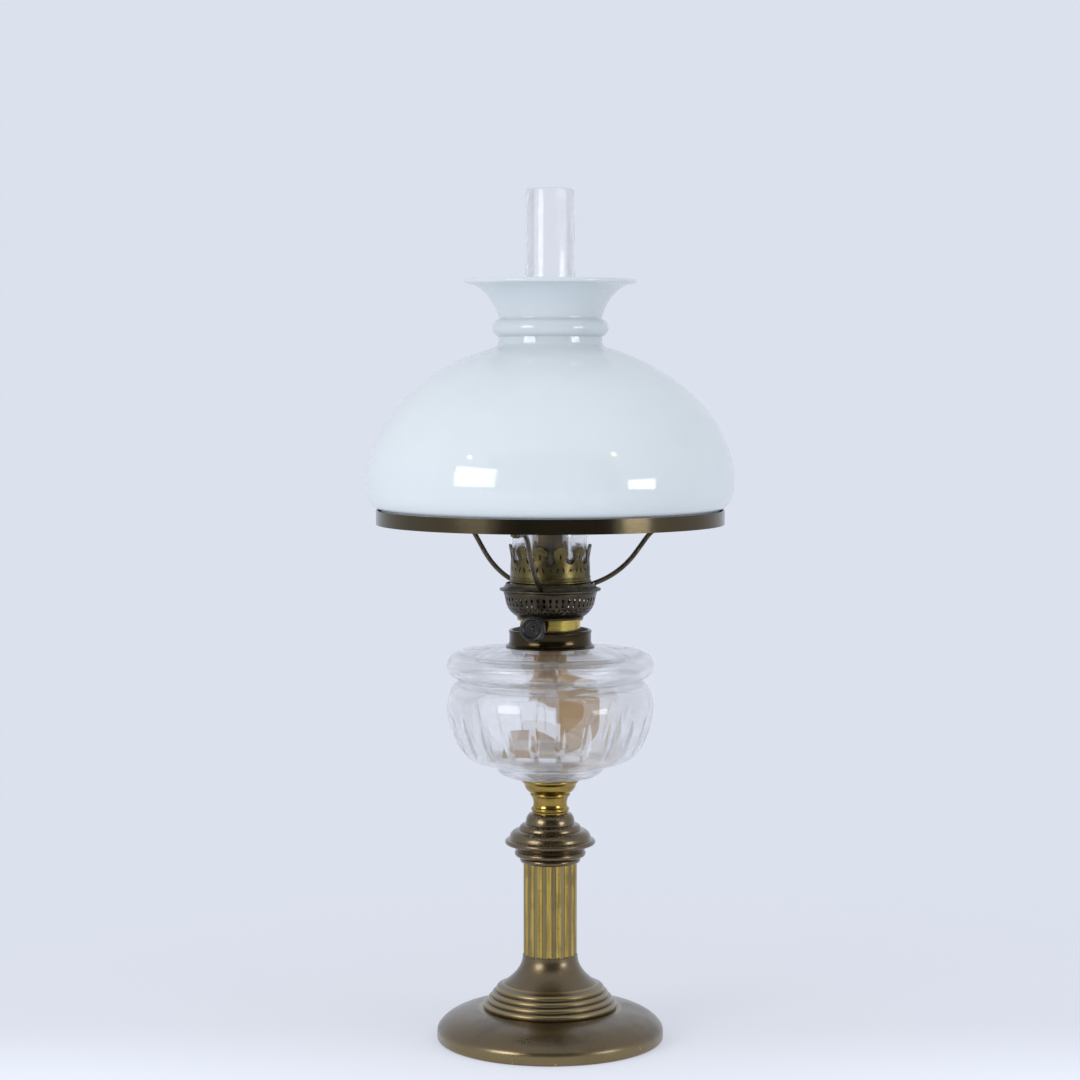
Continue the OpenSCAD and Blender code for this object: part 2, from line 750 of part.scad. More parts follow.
// Air basket: bowl with a lip below and a flat flange above, pierced in rows
basket_flange_r = 26.5;
basket_band_h = 5.5;
basket_band_in = 1.2;
basket_edge_round = 1;
basket_belly_in = 2.2;
basket_belly_h = 5.4;
basket_lip_w = 0.2;
basket_lip_h = 1.2;
row_large = basket_h - 5.2;
row_mid = basket_h - 8.9;
row_small = basket_h - 11.5;
row_tiny = basket_h - 13.8;
slit_w = 0.5;
function basket_outline() =
    concat(
        [[burner_neck_r - neck_wall, 0]],
        [[burner_lip_r - basket_lip_w, 0], [burner_lip_r + basket_lip_w, basket_lip_h]],
        bend([burner_lip_r + basket_lip_w, basket_lip_h + basket_lip_w],
             [basket_r - basket_belly_in, basket_belly_h],
             [basket_r - basket_band_in, basket_h - basket_band_h], 10),
        arc([basket_r - basket_edge_round, basket_h - basket_edge_round], basket_edge_round, 0, 90, 4),
        [[basket_flange_r, basket_h]]);

module basket() {
    pitch = 360 / basket_holes;
    color(bronze) translate([0, 0, z_basket])
        difference() {
            sheet(basket_outline(), basket_t);
            for (i = [0:basket_holes - 1]) {
                radial(i * pitch, burner_lip_r, basket_r + cut) {
                    for (s = [-0.5, 0.5])
                        translate([0, row_large + s * basket_hole_len]) circle(r = basket_hole_r);
                    translate([-basket_hole_r, row_large - basket_hole_len / 2])
                        square([2 * basket_hole_r, basket_hole_len]);
                    translate([0, row_mid]) circle(r = basket_mid_hole_r);
                    translate([-slit_w / 2, row_mid]) square([slit_w, row_large - row_mid]);
                }
                radial((i + 0.5) * pitch, burner_lip_r, basket_r + cut)
                    translate([0, row_small]) circle(r = basket_small_hole_r);
                radial(i * pitch, burner_lip_r, basket_r + cut)
                    translate([0, row_tiny]) circle(r = basket_small_hole_r);
            }
        }
}

plate_hole_r = 1.5;
module gallery_plate() {
    inner_ring = tube_wide_r + 2 * plate_hole_r;
    outer_ring = chimney_r - chimney_t - 2 * plate_hole_r;
    pitch = 360 / plate_holes;
    color(brass) translate([0, 0, z_gallery])
        difference() {
            cylinder(r = plate_r, h = plate_t);
            translate([0, 0, -cut]) cylinder(r = tube_hole_r, h = plate_t + 2 * cut);
            for (i = [0:plate_holes - 1]) {
                rotate([0, 0, i * pitch]) translate([inner_ring, 0, -cut])
                    cylinder(r = plate_hole_r, h = plate_t + 2 * cut);
                rotate([0, 0, (i + 0.5) * pitch]) translate([outer_ring, 0, -cut])
                    cylinder(r = plate_hole_r, h = plate_t + 2 * cut);
            }
        }
}

// Crown: beaded base, plain wall and flared, pierced prongs
crown_flare = 10;
crown_base_h = 3.2;
crown_bead_r = 1.2;
crown_bead_h = 5.7;
crown_ring_r = 0.7;
crown_ring_h = 8.4;
tip_cut_rise = 2.8;
notch_neck_w = 2.6;
star_r = 1.1;
eye_w = 1.8;
eye_h = 4.4;
eye_z = 23.4;
arch_w = 1.1;
arch_h = 4.6;
arch_x = 2.1;
arch_lean = 17;

// Upright lens of that width and height
module lens(w, h) {
    r = (w * w + h * h) / (4 * w);
    intersection() {
        translate([r - w / 2, 0]) circle(r = r);
        translate([w / 2 - r, 0]) circle(r = r);
    }
}

// Gap between two prongs, with the star under it
module crown_gap() {
    translate([0, gap_h]) circle(r = gap_r);
    translate([-notch_neck_w / 2, gap_h]) square([notch_neck_w, notch_h - gap_h]);
    translate([0, notch_h]) circle(r = notch_r);
    translate([0, crown_h + tip_cut_rise]) circle(r = tip_cut_r);
    translate([0, pierce_h]) circle(r = star_r, $fn = 4);
}

// Eye of a prong and the two slits that lean together under it
module prong_piercing() {
    translate([0, eye_z]) lens(eye_w, eye_h);
    for (side = [-1, 1])
        translate([side * arch_x, pierce_h]) rotate(side * arch_lean) lens(arch_w, arch_h);
}

function crown_outline() =
    concat(
        [[crown_base_r, 0], [crown_base_r, crown_base_h]],
        arc([crown_base_r - crown_bead_r, crown_bead_h], crown_bead_r, -70, 70, 6),
        arc([crown_r, crown_ring_h], crown_ring_r, -70, 70, 6),
        bend([crown_r, crown_h - crown_flare], [crown_r, crown_h - crown_flare / 2],
             [crown_tip_r, crown_h]));

module crown() {
    cut_r = crown_r - 2 * crown_t - cut;
    pitch = 360 / prongs;
    color(brass) translate([0, 0, z_crown])
        difference() {
            sheet(crown_outline(), crown_t);
            for (i = [0:prongs - 1]) {
                radial(i * pitch, cut_r, crown_tip_r + cut) crown_gap();
                radial((i + 0.5) * pitch, cut_r, crown_tip_r + cut) prong_piercing();
            }
        }
}

// Tubes of the burner, joined by the side inlet of the draft tube
inlet_w = 10;
inlet_h = 10;
inlet_cog_gap = 2.5;
inlet_z0 = z_shaft + cog_r + inlet_cog_gap;
tube_drop = 0.5;
tube_cone_h = 4;
tube_z0 = z_deck - skirt_h - tube_drop;
tube_z1 = z_crown + tube_h;
module wick_tube() {
    color(bronze)
        difference() {
            turned([
                [tube_r, tube_z0],
                [tube_low_r, tube_z0],
                [tube_low_r, z_crown],
                [tube_wide_r, z_crown + tube_cone_h],
                [tube_mouth_r, tube_z1],
                [tube_r, tube_z1]
            ]);
            on_shaft() cylinder(r = shaft_r + run_gap, h = tube_wide_r + cut);
            radial(shaft_turn, 0, tube_wide_r + cut)
                translate([-inlet_w / 2 - fit_gap, inlet_z0 - fit_gap])
                    square([inlet_w + 2 * fit_gap, inlet_h + 2 * fit_gap]);
        }
}

draft_sunk = 0.5;
module draft_tube() {
    bore_r = draft_r - draft_t;
    color(brass)
        difference() {
            union() {
                translate([0, 0, inlet_z0]) cylinder(r = draft_r, h = tube_z1 - inlet_z0 - draft_sunk);
                radial(shaft_turn, 0, tube_low_r)
                    translate([-inlet_w / 2, inlet_z0]) square([inlet_w, inlet_h]);
            }
            translate([0, 0, inlet_z0 + draft_t]) cylinder(r = bore_r, h = tube_z1);
            radial(shaft_turn, 0, tube_wide_r)
                translate([draft_t - inlet_w / 2, inlet_z0 + draft_t])
                    square([inlet_w - 2 * draft_t, inlet_h - 2 * draft_t]);
        }
}

bush_len = 5;
bush_in = 2;
module shaft_bush() {
    color(brass) on_shaft()
        translate([0, 0, burner_neck_r - bush_in])
            difference() {
                cylinder(r = bush_r, h = bush_len);
                translate([0, 0, -cut]) cylinder(r = shaft_r + run_gap, h = bush_len + 2 * cut);
            }
}

cog_spacing = 3.2;
cog_root_r = 3.8;
shaft_tail = 3;
module wick_shaft() {
    color(steel) on_shaft()
        translate([0, 0, -shaft_tail]) cylinder(r = shaft_r, h = shaft_tail + knob_reach - knob_t / 2);
}

module cog() {
    difference() {
        linear_extrude(height = cog_t)
            polygon([for (i = [0:cog_teeth - 1])
                for (s = [[0, cog_r], [0.25, cog_root_r], [0.75, cog_root_r]])
                    let (a = (i + s[0]) * 360 / cog_teeth) s[1] * [cos(a), sin(a)]]);
        translate([0, 0, -cut]) cylinder(r = shaft_r + fit_gap, h = cog_t + 2 * cut);
    }
}

module wick_cogs() {
    color(brass) on_shaft()
        for (s = [-0.5, 0.5])
            translate([0, 0, s * cog_spacing - cog_t / 2]) cog();
}

// Knob: dished disc with a rolled rim, one raised ring and a centre boss
knob_dish = 1.2;
knob_back_r = 3.6;
knob_back_cone = 0.4;
knob_ring_r = 4.1;
knob_ring_h = 0.5;
knob_boss_r = 1.6;
module knob() {
    rim = knob_t / 2;
    face = knob_t - knob_dish;
    color(gunmetal) on_shaft()
        translate([0, 0, knob_reach - knob_t])
            difference() {
                turned(concat(
                    [[0, 0], [knob_back_r, 0], [knob_back_r + knob_back_cone, knob_dish],
                     [knob_r - rim, knob_dish]],
                    arc([knob_r - rim, rim], rim, -60, 120, 10),
                    [[knob_r - 2 * rim, face]],
                    arc([knob_ring_r, face], knob_ring_h, 0, 180, 6),
                    arc([0, face], knob_boss_r, 0, 90, 6)));
                translate([0, 0, -cut]) cylinder(r = shaft_r + fit_gap, h = cut + rim);
            }
}

// Wick: a round sleeve between the tubes, open at the front beside the cogs and the inlet
wick_r = tube_r - wick_gap;
wick_in = wick_r - wick_t;
wick_drop = 0.5;
wick_z0 = tube_z0 - wick_drop;
wick_open_side = 2;
wick_open_over = 7;
wick_open_w = inlet_w + 2 * wick_open_side;
wick_open_top = inlet_z0 + inlet_h + wick_open_over;
module wick() {
    color(cotton)
        difference() {
            translate([0, 0, wick_z0])
                cylinder(r = wick_r, h = tube_z1 + wick_proud - wick_z0);
            translate([0, 0, wick_z0 - cut])
                cylinder(r = wick_in, h = tube_z1 + wick_proud - wick_z0 + 2 * cut);
            radial(shaft_turn, 0, wick_r + cut)
                translate([-wick_open_w / 2, wick_z0 - cut])
                    square([wick_open_w, wick_open_top - wick_z0 + cut]);
        }
}

// Wick tails: bands that leave the sleeve along an arc, flatten and hang in the font
tail_t = wick_t;
tail_top = wick_z0;
tail_mid_r = (wick_r + wick_in) / 2;
// Length that stays round, so that it can follow the wick into its tube, and length of the flattening
tail_round_len = 12.5;
tail_blend = 26;
tail_split_x = 4;
tail_split_gap = 0.5;
// Angles on the sleeve, from +X, between which each tail leaves it
tail_edge_turn = 2;
wick_open_half = asin(wick_open_w / 2 / tail_mid_r);
long_a0 = shaft_turn - 90 + wick_open_half + tail_edge_turn;
long_a1 = 66;
short_a0 = shaft_turn + 270 - wick_open_half - tail_edge_turn;
short_a1 = 74;
tail_waves = 2;
tail_wave_h = 0.9;
tail_wave_turn = 250;
tail_short_wave_turn = 90;
tail_short_back = 1.5;
tail_hem_h = 3;
tail_hem_turn = 140;
long_rows = 26;
short_rows = 12;
tail_cols = 10;
function smooth(t) = let (c = min(max(t, 0), 1)) c * c * (3 - 2 * c);
function unit(v) = v / norm(v);
function mix(a, b, t) = a + (b - a) * t;
// Centre line of the long tail: down the font, round a bend and along its floor
tail_floor_gap = 4;
tail_floor_z = z_font + saucer_h + font_t + tail_floor_gap;
tail_bend = 14;
tail_hang_x = tail_split_x + tail_split_gap + tail_w / 2;
tail_drop = tail_top - tail_floor_z - tail_bend;
tail_run = 36;
tail_len = tail_drop + tail_bend * PI / 2 + tail_run;
tail_twist = 80;
tail_twist_lead = 16;
tail_twist_len = 42;
function tail_line(s) =
    s < tail_drop ? [tail_hang_x, 0, tail_top - s] :
    s < tail_drop + tail_bend * PI / 2 ?
        let (a = (s - tail_drop) / tail_bend * 180 / PI)
        [tail_hang_x - tail_bend * (1 - cos(a)), 0, tail_floor_z + tail_bend * (1 - sin(a))] :
    [tail_hang_x - tail_bend - (s - tail_drop - tail_bend * PI / 2), 0, tail_floor_z];
function tail_flat(s) = smooth((s - tail_round_len) / tail_blend);
// Point of the long tail, u from -1 to 1 across and v from 0 to 1 along
function long_tail(u, v) =
    let (s = v * tail_len,
         a = mix(long_a0, long_a1, (u + 1) / 2),
         start = [tail_mid_r * cos(a), tail_mid_r * sin(a), tail_top - s],
         twist = tail_twist * smooth((s - tail_drop + tail_twist_lead) / tail_twist_len),
         across = [cos(twist), sin(twist), 0],
         wave = tail_wave_h * sin(180 * tail_waves * u + tail_wave_turn * v),
         hang = tail_line(s) + u * tail_w / 2 * across + [0, wave * cos(twist), wave * sin(twist)])
    mix(start, hang, tail_flat(s));
function short_tail(u, v) =
    let (s = v * (tail_short_drop + tail_hem_h * sin(tail_hem_turn * u)),
         a = mix(short_a0, short_a1, (u + 1) / 2),
         start = [tail_mid_r * cos(a), tail_mid_r * sin(a), tail_top - s],
         x = tail_split_x - tail_split_gap + (u - 1) * tail_short_w / 2,
         wave = tail_wave_h * sin(180 * tail_waves * u + tail_short_wave_turn * v),
         hang = [x, tail_short_back + wave, tail_top - s])
    mix(start, hang, tail_flat(s));

// Closed band of thickness tail_t over the grid of middle points p[row][column]
module band(p) {
    n = len(p) - 1;
    m = len(p[0]) - 1;
    down = [for (i = [0:n]) [for (j = [0:m]) i == 0 ? [0, 0, -1] : p[min(i + 1, n)][j] - p[i - 1][j]]];
    normal = [for (i = [0:n]) [for (j = [0:m])
        unit(cross(p[i][min(j + 1, m)] - p[i][max(j - 1, 0)], down[i][j]))]];
    points = [for (side = [0.5, -0.5]) for (i = [0:n]) for (j = [0:m])
        p[i][j] + side * tail_t * normal[i][j]];
    w = m + 1;
    back = (n + 1) * w;
    ring = concat(
        [for (j = [0:m - 1]) j],
        [for (i = [0:n - 1]) i * w + m],
        [for (j = [m:-1:1]) n * w + j],
        [for (i = [n:-1:1]) i * w]);
    faces = concat(
        [for (i = [0:n - 1]) for (j = [0:m - 1]) each
            let (a = i * w + j) [[a, a + 1, a + w], [a + 1, a + w + 1, a + w]]],
        [for (i = [0:n - 1]) for (j = [0:m - 1]) each
            let (a = back + i * w + j) [[a, a + w, a + 1], [a + 1, a + w, a + w + 1]]],
        [for (k = [0:len(ring) - 1]) each
            let (a = ring[k], b = ring[(k + 1) % len(ring)]) [[a, back + a, b], [b, back + a, back + b]]]);
    polyhedron(points, faces);
}

module wick_tail_long() {
    color(cotton)
        band([for (i = [0:long_rows]) [for (j = [0:tail_cols])
            long_tail(2 * j / tail_cols - 1, i / long_rows)]]);
}

module wick_tail_short() {
    color(cotton)
        band([for (i = [0:short_rows]) [for (j = [0:tail_cols])
            short_tail(2 * j / tail_cols - 1, i / short_rows)]]);
}

// Shade holder: seat ring on the basket, bent arms and the ring for the shade
seat_lip_round = 0.75;
seat_foot_w = 2.5;
seat_lip_in = 1.6;
seat_cove_w = 1.4;
seat_cove_h = 2.4;
seat_top_w = 0.7;
function seat_outline(gap) =
    concat(
        [[seat_bore_r, 0], [seat_bore_r + seat_foot_w, 0]],
        arc([seat_lip_r - seat_lip_round, seat_lip_round], seat_lip_round + gap, -90, 70, 8),
        bend([seat_lip_r - seat_lip_in, 2 * seat_lip_round + gap],
             [seat_bore_r + seat_cove_w, seat_cove_h + gap],
             [seat_bore_r + seat_top_w, seat_h + gap], 6),
        [[seat_bore_r, seat_h + gap]]);

module seat_ring() {
    color(bronze) translate([0, 0, z_gallery]) turned(seat_outline(0));
}

arm_start_out = 0.9;
arm_start_drop = 1.4;
arm_in_pad = 2;
arm_start = [seat_bore_r + arm_start_out, z_gallery + seat_h - arm_start_drop];
arm_end_z = z_ring - arm_r;
arm_run = (arm_end_z - arm_start[1] - arm_bend_low * (cos(arm_slope_low) - cos(arm_slope))
    - arm_bend_high * (1 - cos(arm_slope))) / sin(arm_slope);
arm_low_c = arm_start + arm_bend_low * [-sin(arm_slope_low), cos(arm_slope_low)];
arm_low_end = arm_low_c + arm_bend_low * [sin(arm_slope), -cos(arm_slope)];
arm_high_start = arm_low_end + arm_run * [cos(arm_slope), sin(arm_slope)];
arm_high_c = arm_high_start + arm_bend_high * [sin(arm_slope), -cos(arm_slope)];
ledge_in_r = ring_r - ledge_w;
rivet_at = ledge_in_r + pad_w / 2;
pad_r0 = rivet_at - pad_len + pad_w / 2;

// Bends and bars stop a seam short of each other inside a slightly swollen knuckle
arm_seam = 0.1;
arm_swell = 0.05;
module arm_bend(c, r, a0, a1) {
    seam = arm_seam / r * 180 / PI;
    translate(c) rotate([0, 0, a0 + seam]) rotate_extrude(angle = a1 - a0 - 2 * seam)
        translate([r, 0]) circle(r = arm_r);
}

module arm_bar(p, slope, length) {
    translate(p) rotate([0, 0, slope]) translate([arm_seam, 0, 0]) rotate([0, 90, 0])
        cylinder(r = arm_r, h = length - 2 * arm_seam);
}

module arm_knuckle(p) {
    translate(p) sphere(r = arm_r + arm_swell);
}

function arm_at(i) = arm_turn + i * 360 / arms;

module holder_arm(i) {
    color(bronze)
        difference() {
            union() {
                in_arm_plane(arm_at(i)) {
                    arm_bend(arm_low_c, arm_bend_low, arm_slope_low - 90, arm_slope - 90);
                    arm_knuckle(arm_low_end);
                    arm_bar(arm_low_end, arm_slope, arm_run);
                    arm_knuckle(arm_high_start);
                    arm_bend(arm_high_c, arm_bend_high, 90, 90 + arm_slope);
                    arm_knuckle([arm_high_c[0], arm_end_z]);
                    arm_bar([arm_high_c[0], arm_end_z], 0, pad_r0 + arm_in_pad - arm_high_c[0]);
                }
                rotate([0, 0, arm_at(i)]) translate([0, -pad_r0, z_ring - pad_t])
                    linear_extrude(height = pad_t) {
                        translate([-pad_w / 2, pad_r0 - rivet_at]) square([pad_w, rivet_at - pad_r0]);
                        translate([0, pad_r0 - rivet_at]) circle(d = pad_w);
                    }
            }
            translate([0, 0, z_gallery]) turned(seat_outline(fit_gap));
            rotate([0, 0, arm_at(i)]) translate([0, -rivet_at, z_ring - pad_t - cut])
                cylinder(r = rivet_r + fit_gap, h = pad_t + 2 * cut);
        }
}

module holder_arm_1() {
    holder_arm(0);
}

module holder_arm_2() {
    holder_arm(1);
}

module holder_arm_3() {
    holder_arm(2);
}

module shade_ring() {
    color(bronze) translate([0, 0, z_ring])
        difference() {
            turned([
                [ledge_in_r, 0],
                [ring_r, 0],
                [ring_r, ring_h],
                [ring_r - ring_t, ring_h],
                [ring_r - ring_t, ring_t],
                [ledge_in_r, ring_t]
            ]);
            for (i = [0:arms - 1])
                rotate([0, 0, arm_at(i)]) translate([0, -rivet_at, -cut])
                    cylinder(r = rivet_r + fit_gap, h = ring_t + 2 * cut);
        }
}

rivet_head_r = 2.6;
rivet_head_h = 1;
rivet_top_r = 1.6;
module rivet() {
    grip = pad_t + ring_t;
    turned(concat(
        [[0, -rivet_head_h], [rivet_top_r, -rivet_head_h], [rivet_head_r, 0], [rivet_r, 0]],
        [[rivet_r, grip], [rivet_head_r, grip], [rivet_top_r, grip + rivet_head_h],
         [0, grip + rivet_head_h]]));
}

module ring_rivets() {
    color(brass)
        for (i = [0:arms - 1])
            rotate([0, 0, arm_at(i)]) translate([0, -rivet_at, z_ring - pad_t]) rivet();
}

// Shade: upright rim, belly, dome, beaded neck and flare
shade_rim_step = 0.2;
shade_rim_pull = 3.5;
shade_fillet_w = 5;
shade_fillet_h = 2.4;
shade_groove = 0.3;
shade_flare_gap = 1;
shade_flare_pull = [4.4, 16];
shade_lip_w = 7.5;
shade_lip_drop = 1;
shade_dome_steps = 18;
// Point of the dome where its radius has shrunk to r
function shade_dome_turn(r) = acos(pow(r / shade_r, shade_dome_power / 2));
function shade_dome_at(turn) =
    let (e = 2 / shade_dome_power)
    [shade_r * pow(cos(turn), e), shade_belly_h + shade_dome_h * pow(sin(turn), e)];
function shade_outline() =
    let (dome_end = shade_dome_turn(shade_neck_r + shade_fillet_w),
         dome = [for (i = [0:shade_dome_steps]) shade_dome_at(dome_end * i / shade_dome_steps)],
         corner = shade_dome_at(shade_dome_turn(shade_neck_r)),
         round = (shade_bead_half * shade_bead_half + shade_bead_bulge * shade_bead_bulge)
             / (2 * shade_bead_bulge),
         half = asin(shade_bead_half / round),
         bead_mid = corner[1] + shade_bead_rise,
         flare = [shade_neck_r - shade_groove, bead_mid + shade_bead_half + shade_flare_gap],
         top_z = bead_mid + shade_flare_h)
    concat(
        [[shade_rim_r, 0], [shade_rim_r, shade_rim_h]],
        bend([shade_rim_r, shade_rim_h + shade_rim_step], [shade_r, shade_rim_h + shade_rim_pull],
             [shade_r, shade_belly_h]),
        dome,
        bend(dome[shade_dome_steps], corner, corner + [0, shade_fillet_h], 5),
        arc([shade_neck_r + shade_bead_bulge - round, bead_mid], round, -half, half, 10),
        bend(flare, flare + shade_flare_pull, [shade_top_r - shade_lip_w, top_z - shade_lip_drop], 10),
        [[shade_top_r - shade_t / 2, top_z]]);

module shade() {
    outer = tidy(shade_outline());
    inner = beside(outer, shade_t);
    last = len(outer) - 1;
    rim_c = (outer[last] + inner[last]) / 2;
    rim_a = atan2(outer[last][1] - rim_c[1], outer[last][0] - rim_c[0]);
    color(opal_glass) translate([0, 0, z_shade])
        turned(concat(outer, arc(rim_c, shade_t / 2, rim_a, rim_a + 180, 6), reversed(inner)));
}

// Chimney: wide base, narrow waist over the flame and a long tapering tube
chimney_knee_h = 50;
chimney_knee_slope = 2;
chimney_swell_h = 14;
chimney_swell_pull = [0.4, 6];
function chimney_outline() =
    let (knee = [(chimney_r + chimney_waist_r) / 2, chimney_knee_h],
         slope = [0, chimney_knee_slope],
         waist = [chimney_waist_r, chimney_waist_h],
         tube = [chimney_tube_r, chimney_waist_h + chimney_swell_h])
    concat(
        [[chimney_r, 0]],
        bend([chimney_r, chimney_base_h], [chimney_r, knee[1]] - slope, knee),
        bend(knee, [chimney_waist_r, knee[1]] + slope, waist),
        bend(waist, waist + chimney_swell_pull, tube),
        [[chimney_top_r, chimney_h]]);

module chimney() {
    outer = tidy(chimney_outline());
    inner = beside(outer, chimney_t);
    rim_c = [chimney_top_r - chimney_t / 2, chimney_h];
    color(clear_glass) translate([0, 0, z_crown])
        turned(concat(outer, arc(rim_c, chimney_t / 2, 0, 180, 6), reversed(inner)));
}

foot_shell();
foot_weight();
tie_rod();
rod_nuts();
rod_washer();
column();
capital();
neck();
font_cup();
font_cement();
font();
collar_cement();
collar();
burner_base();
basket();
gallery_plate();
crown();
wick_tube();
draft_tube();
shaft_bush();
wick_shaft();
wick_cogs();
knob();
wick();
wick_tail_long();
wick_tail_short();
seat_ring();
holder_arm_1();
holder_arm_2();
holder_arm_3();
shade_ring();
ring_rivets();
shade();
chimney();
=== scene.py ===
"""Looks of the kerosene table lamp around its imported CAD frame, laid out as an add-on."""
import math

import bpy
import numpy as np
from bpy.props import FloatProperty, FloatVectorProperty, IntProperty, PointerProperty
from mathutils import Matrix, Vector


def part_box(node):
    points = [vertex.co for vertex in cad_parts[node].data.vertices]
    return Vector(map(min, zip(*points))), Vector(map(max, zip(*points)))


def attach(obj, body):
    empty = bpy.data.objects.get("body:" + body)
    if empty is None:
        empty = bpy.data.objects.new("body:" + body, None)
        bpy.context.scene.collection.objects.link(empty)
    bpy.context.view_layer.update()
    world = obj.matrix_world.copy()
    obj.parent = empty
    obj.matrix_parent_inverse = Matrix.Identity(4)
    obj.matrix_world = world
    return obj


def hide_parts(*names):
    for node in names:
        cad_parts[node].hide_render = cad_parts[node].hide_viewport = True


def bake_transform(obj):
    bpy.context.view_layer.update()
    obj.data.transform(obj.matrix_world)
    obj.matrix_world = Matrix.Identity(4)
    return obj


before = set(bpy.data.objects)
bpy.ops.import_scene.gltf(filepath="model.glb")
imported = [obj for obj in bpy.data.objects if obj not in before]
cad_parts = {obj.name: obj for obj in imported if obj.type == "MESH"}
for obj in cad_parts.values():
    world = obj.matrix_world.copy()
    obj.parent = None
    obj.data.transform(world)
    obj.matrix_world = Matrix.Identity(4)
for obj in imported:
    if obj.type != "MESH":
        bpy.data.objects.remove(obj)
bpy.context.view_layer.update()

bl_info = {
    "name": "Kerosene Table Lamp",
    "version": (1, 0, 0),
    "blender": (4, 5, 0),
    "location": "View3D > Sidebar > Lamp",
    "description": "Glass, wick, knob, metal finishes and stage of a kerosene table lamp",
    "category": "Object",
}

MM = 0.001


def finish_colour(title, words, value):
    """A colour that a user may change."""
    return FloatVectorProperty(name=title, description=words, default=value, size=3, min=0, max=1,
                               subtype="COLOR")


def length(title, words, value):
    """A length in metres that a user may change."""
    return FloatProperty(name=title, description=words, default=value, precision=4, subtype="DISTANCE",
                         unit="LENGTH")


def brightness(title, words, value):
    """A level of light that a user may change."""
    return FloatProperty(name=title, description=words, default=value, min=0)


class LampMetalSettings(bpy.types.PropertyGroup):
    """Colours of the lamp's metals."""

    patina: finish_colour("Patina", "Brown patina of foot and capital", (0.145, 0.107, 0.055))
    patina_dark: finish_colour("Dark patina", "Darker clouds in the patina", (0.05, 0.036, 0.02))
    worn: finish_colour("Worn brass", "Bare brass where the patina is rubbed off", (0.46, 0.34, 0.13))
    brass: finish_colour("Yellow brass", "Fluted column", (0.50, 0.365, 0.10))
    brass_dark: finish_colour("Brass shadow", "Tarnish in the yellow brass", (0.20, 0.135, 0.035))
    neck: finish_colour("Neck brass", "Neck and cup under the font", (0.36, 0.245, 0.06))
    collar: finish_colour("Collar", "Browned collar of the font", (0.05, 0.036, 0.018))
    burner_neck: finish_colour("Burner neck", "Bright neck of the burner", (0.55, 0.42, 0.10))
    burner: finish_colour("Burner brass", "Crown and gallery", (0.14, 0.112, 0.045))
    soot: finish_colour("Sooted brass", "Basket", (0.066, 0.05, 0.028))
    tube: finish_colour("Tubes", "Wick tube and draft tube", (0.10, 0.07, 0.028))
    holder: finish_colour("Holder", "Shade ring and arms", (0.09, 0.071, 0.041))
    knob: finish_colour("Knob", "Blackened knob", (0.062, 0.058, 0.055))


class LampGlassSettings(bpy.types.PropertyGroup):
    """Looks of the lamp's glass."""

    opal: finish_colour("Opal", "Body colour of the shade", (0.668, 0.727, 0.768))
    clear: finish_colour("Clear glass", "Tint of font and chimney", (0.997, 0.998, 1.0))
    steps: IntProperty(name="Steps", description="Segments round the font", default=480, min=96, max=768)


class LampWickSettings(bpy.types.PropertyGroup):
    """Looks of the wick."""

    cotton: finish_colour("Cotton", "Colour of the wick", (0.53, 0.32, 0.112))
    cotton_dark: finish_colour("Oiled cotton", "Oil stains in the wick", (0.37, 0.213, 0.067))
    thread: length("Thread", "Pitch of the weave", 0.0011)


class LampStageSettings(bpy.types.PropertyGroup):
    """Camera, backdrop and light."""

    focal: FloatProperty(name="Focal length", description="Lens, for a 36 mm sensor", default=89.33, min=20)
    distance: length("Distance", "Camera from the lamp's axis", 1.836)
    height: length("Height", "Camera above the floor", 0.4708)
    aside: length("Aside", "Camera beside the lamp's axis", -0.00705)
    tilt: FloatProperty(name="Tilt", description="Camera below the horizon", default=math.radians(3.86),
                        subtype="ANGLE")
    backdrop: finish_colour("Backdrop", "Colour of the wall", (0.715, 0.752, 0.853))
    floor: finish_colour("Floor", "Colour of the floor", (0.80, 0.82, 0.87))
    ambient: brightness("Ambient", "Level of the light from all round", 0.63)
    overhead: brightness("Overhead", "Level of the light from above", 0.95)
    key: brightness("Left light", "Brightness of the left soft light", 7.0)
    fill: brightness("Right light", "Brightness of the right soft light", 9.0)
    card: length("Dark card", "Width of the dark card behind the camera", 4.4)


SETTINGS = {
    "lamp_metal": LampMetalSettings,
    "lamp_glass": LampGlassSettings,
    "lamp_wick": LampWickSettings,
    "lamp_stage": LampStageSettings,
}


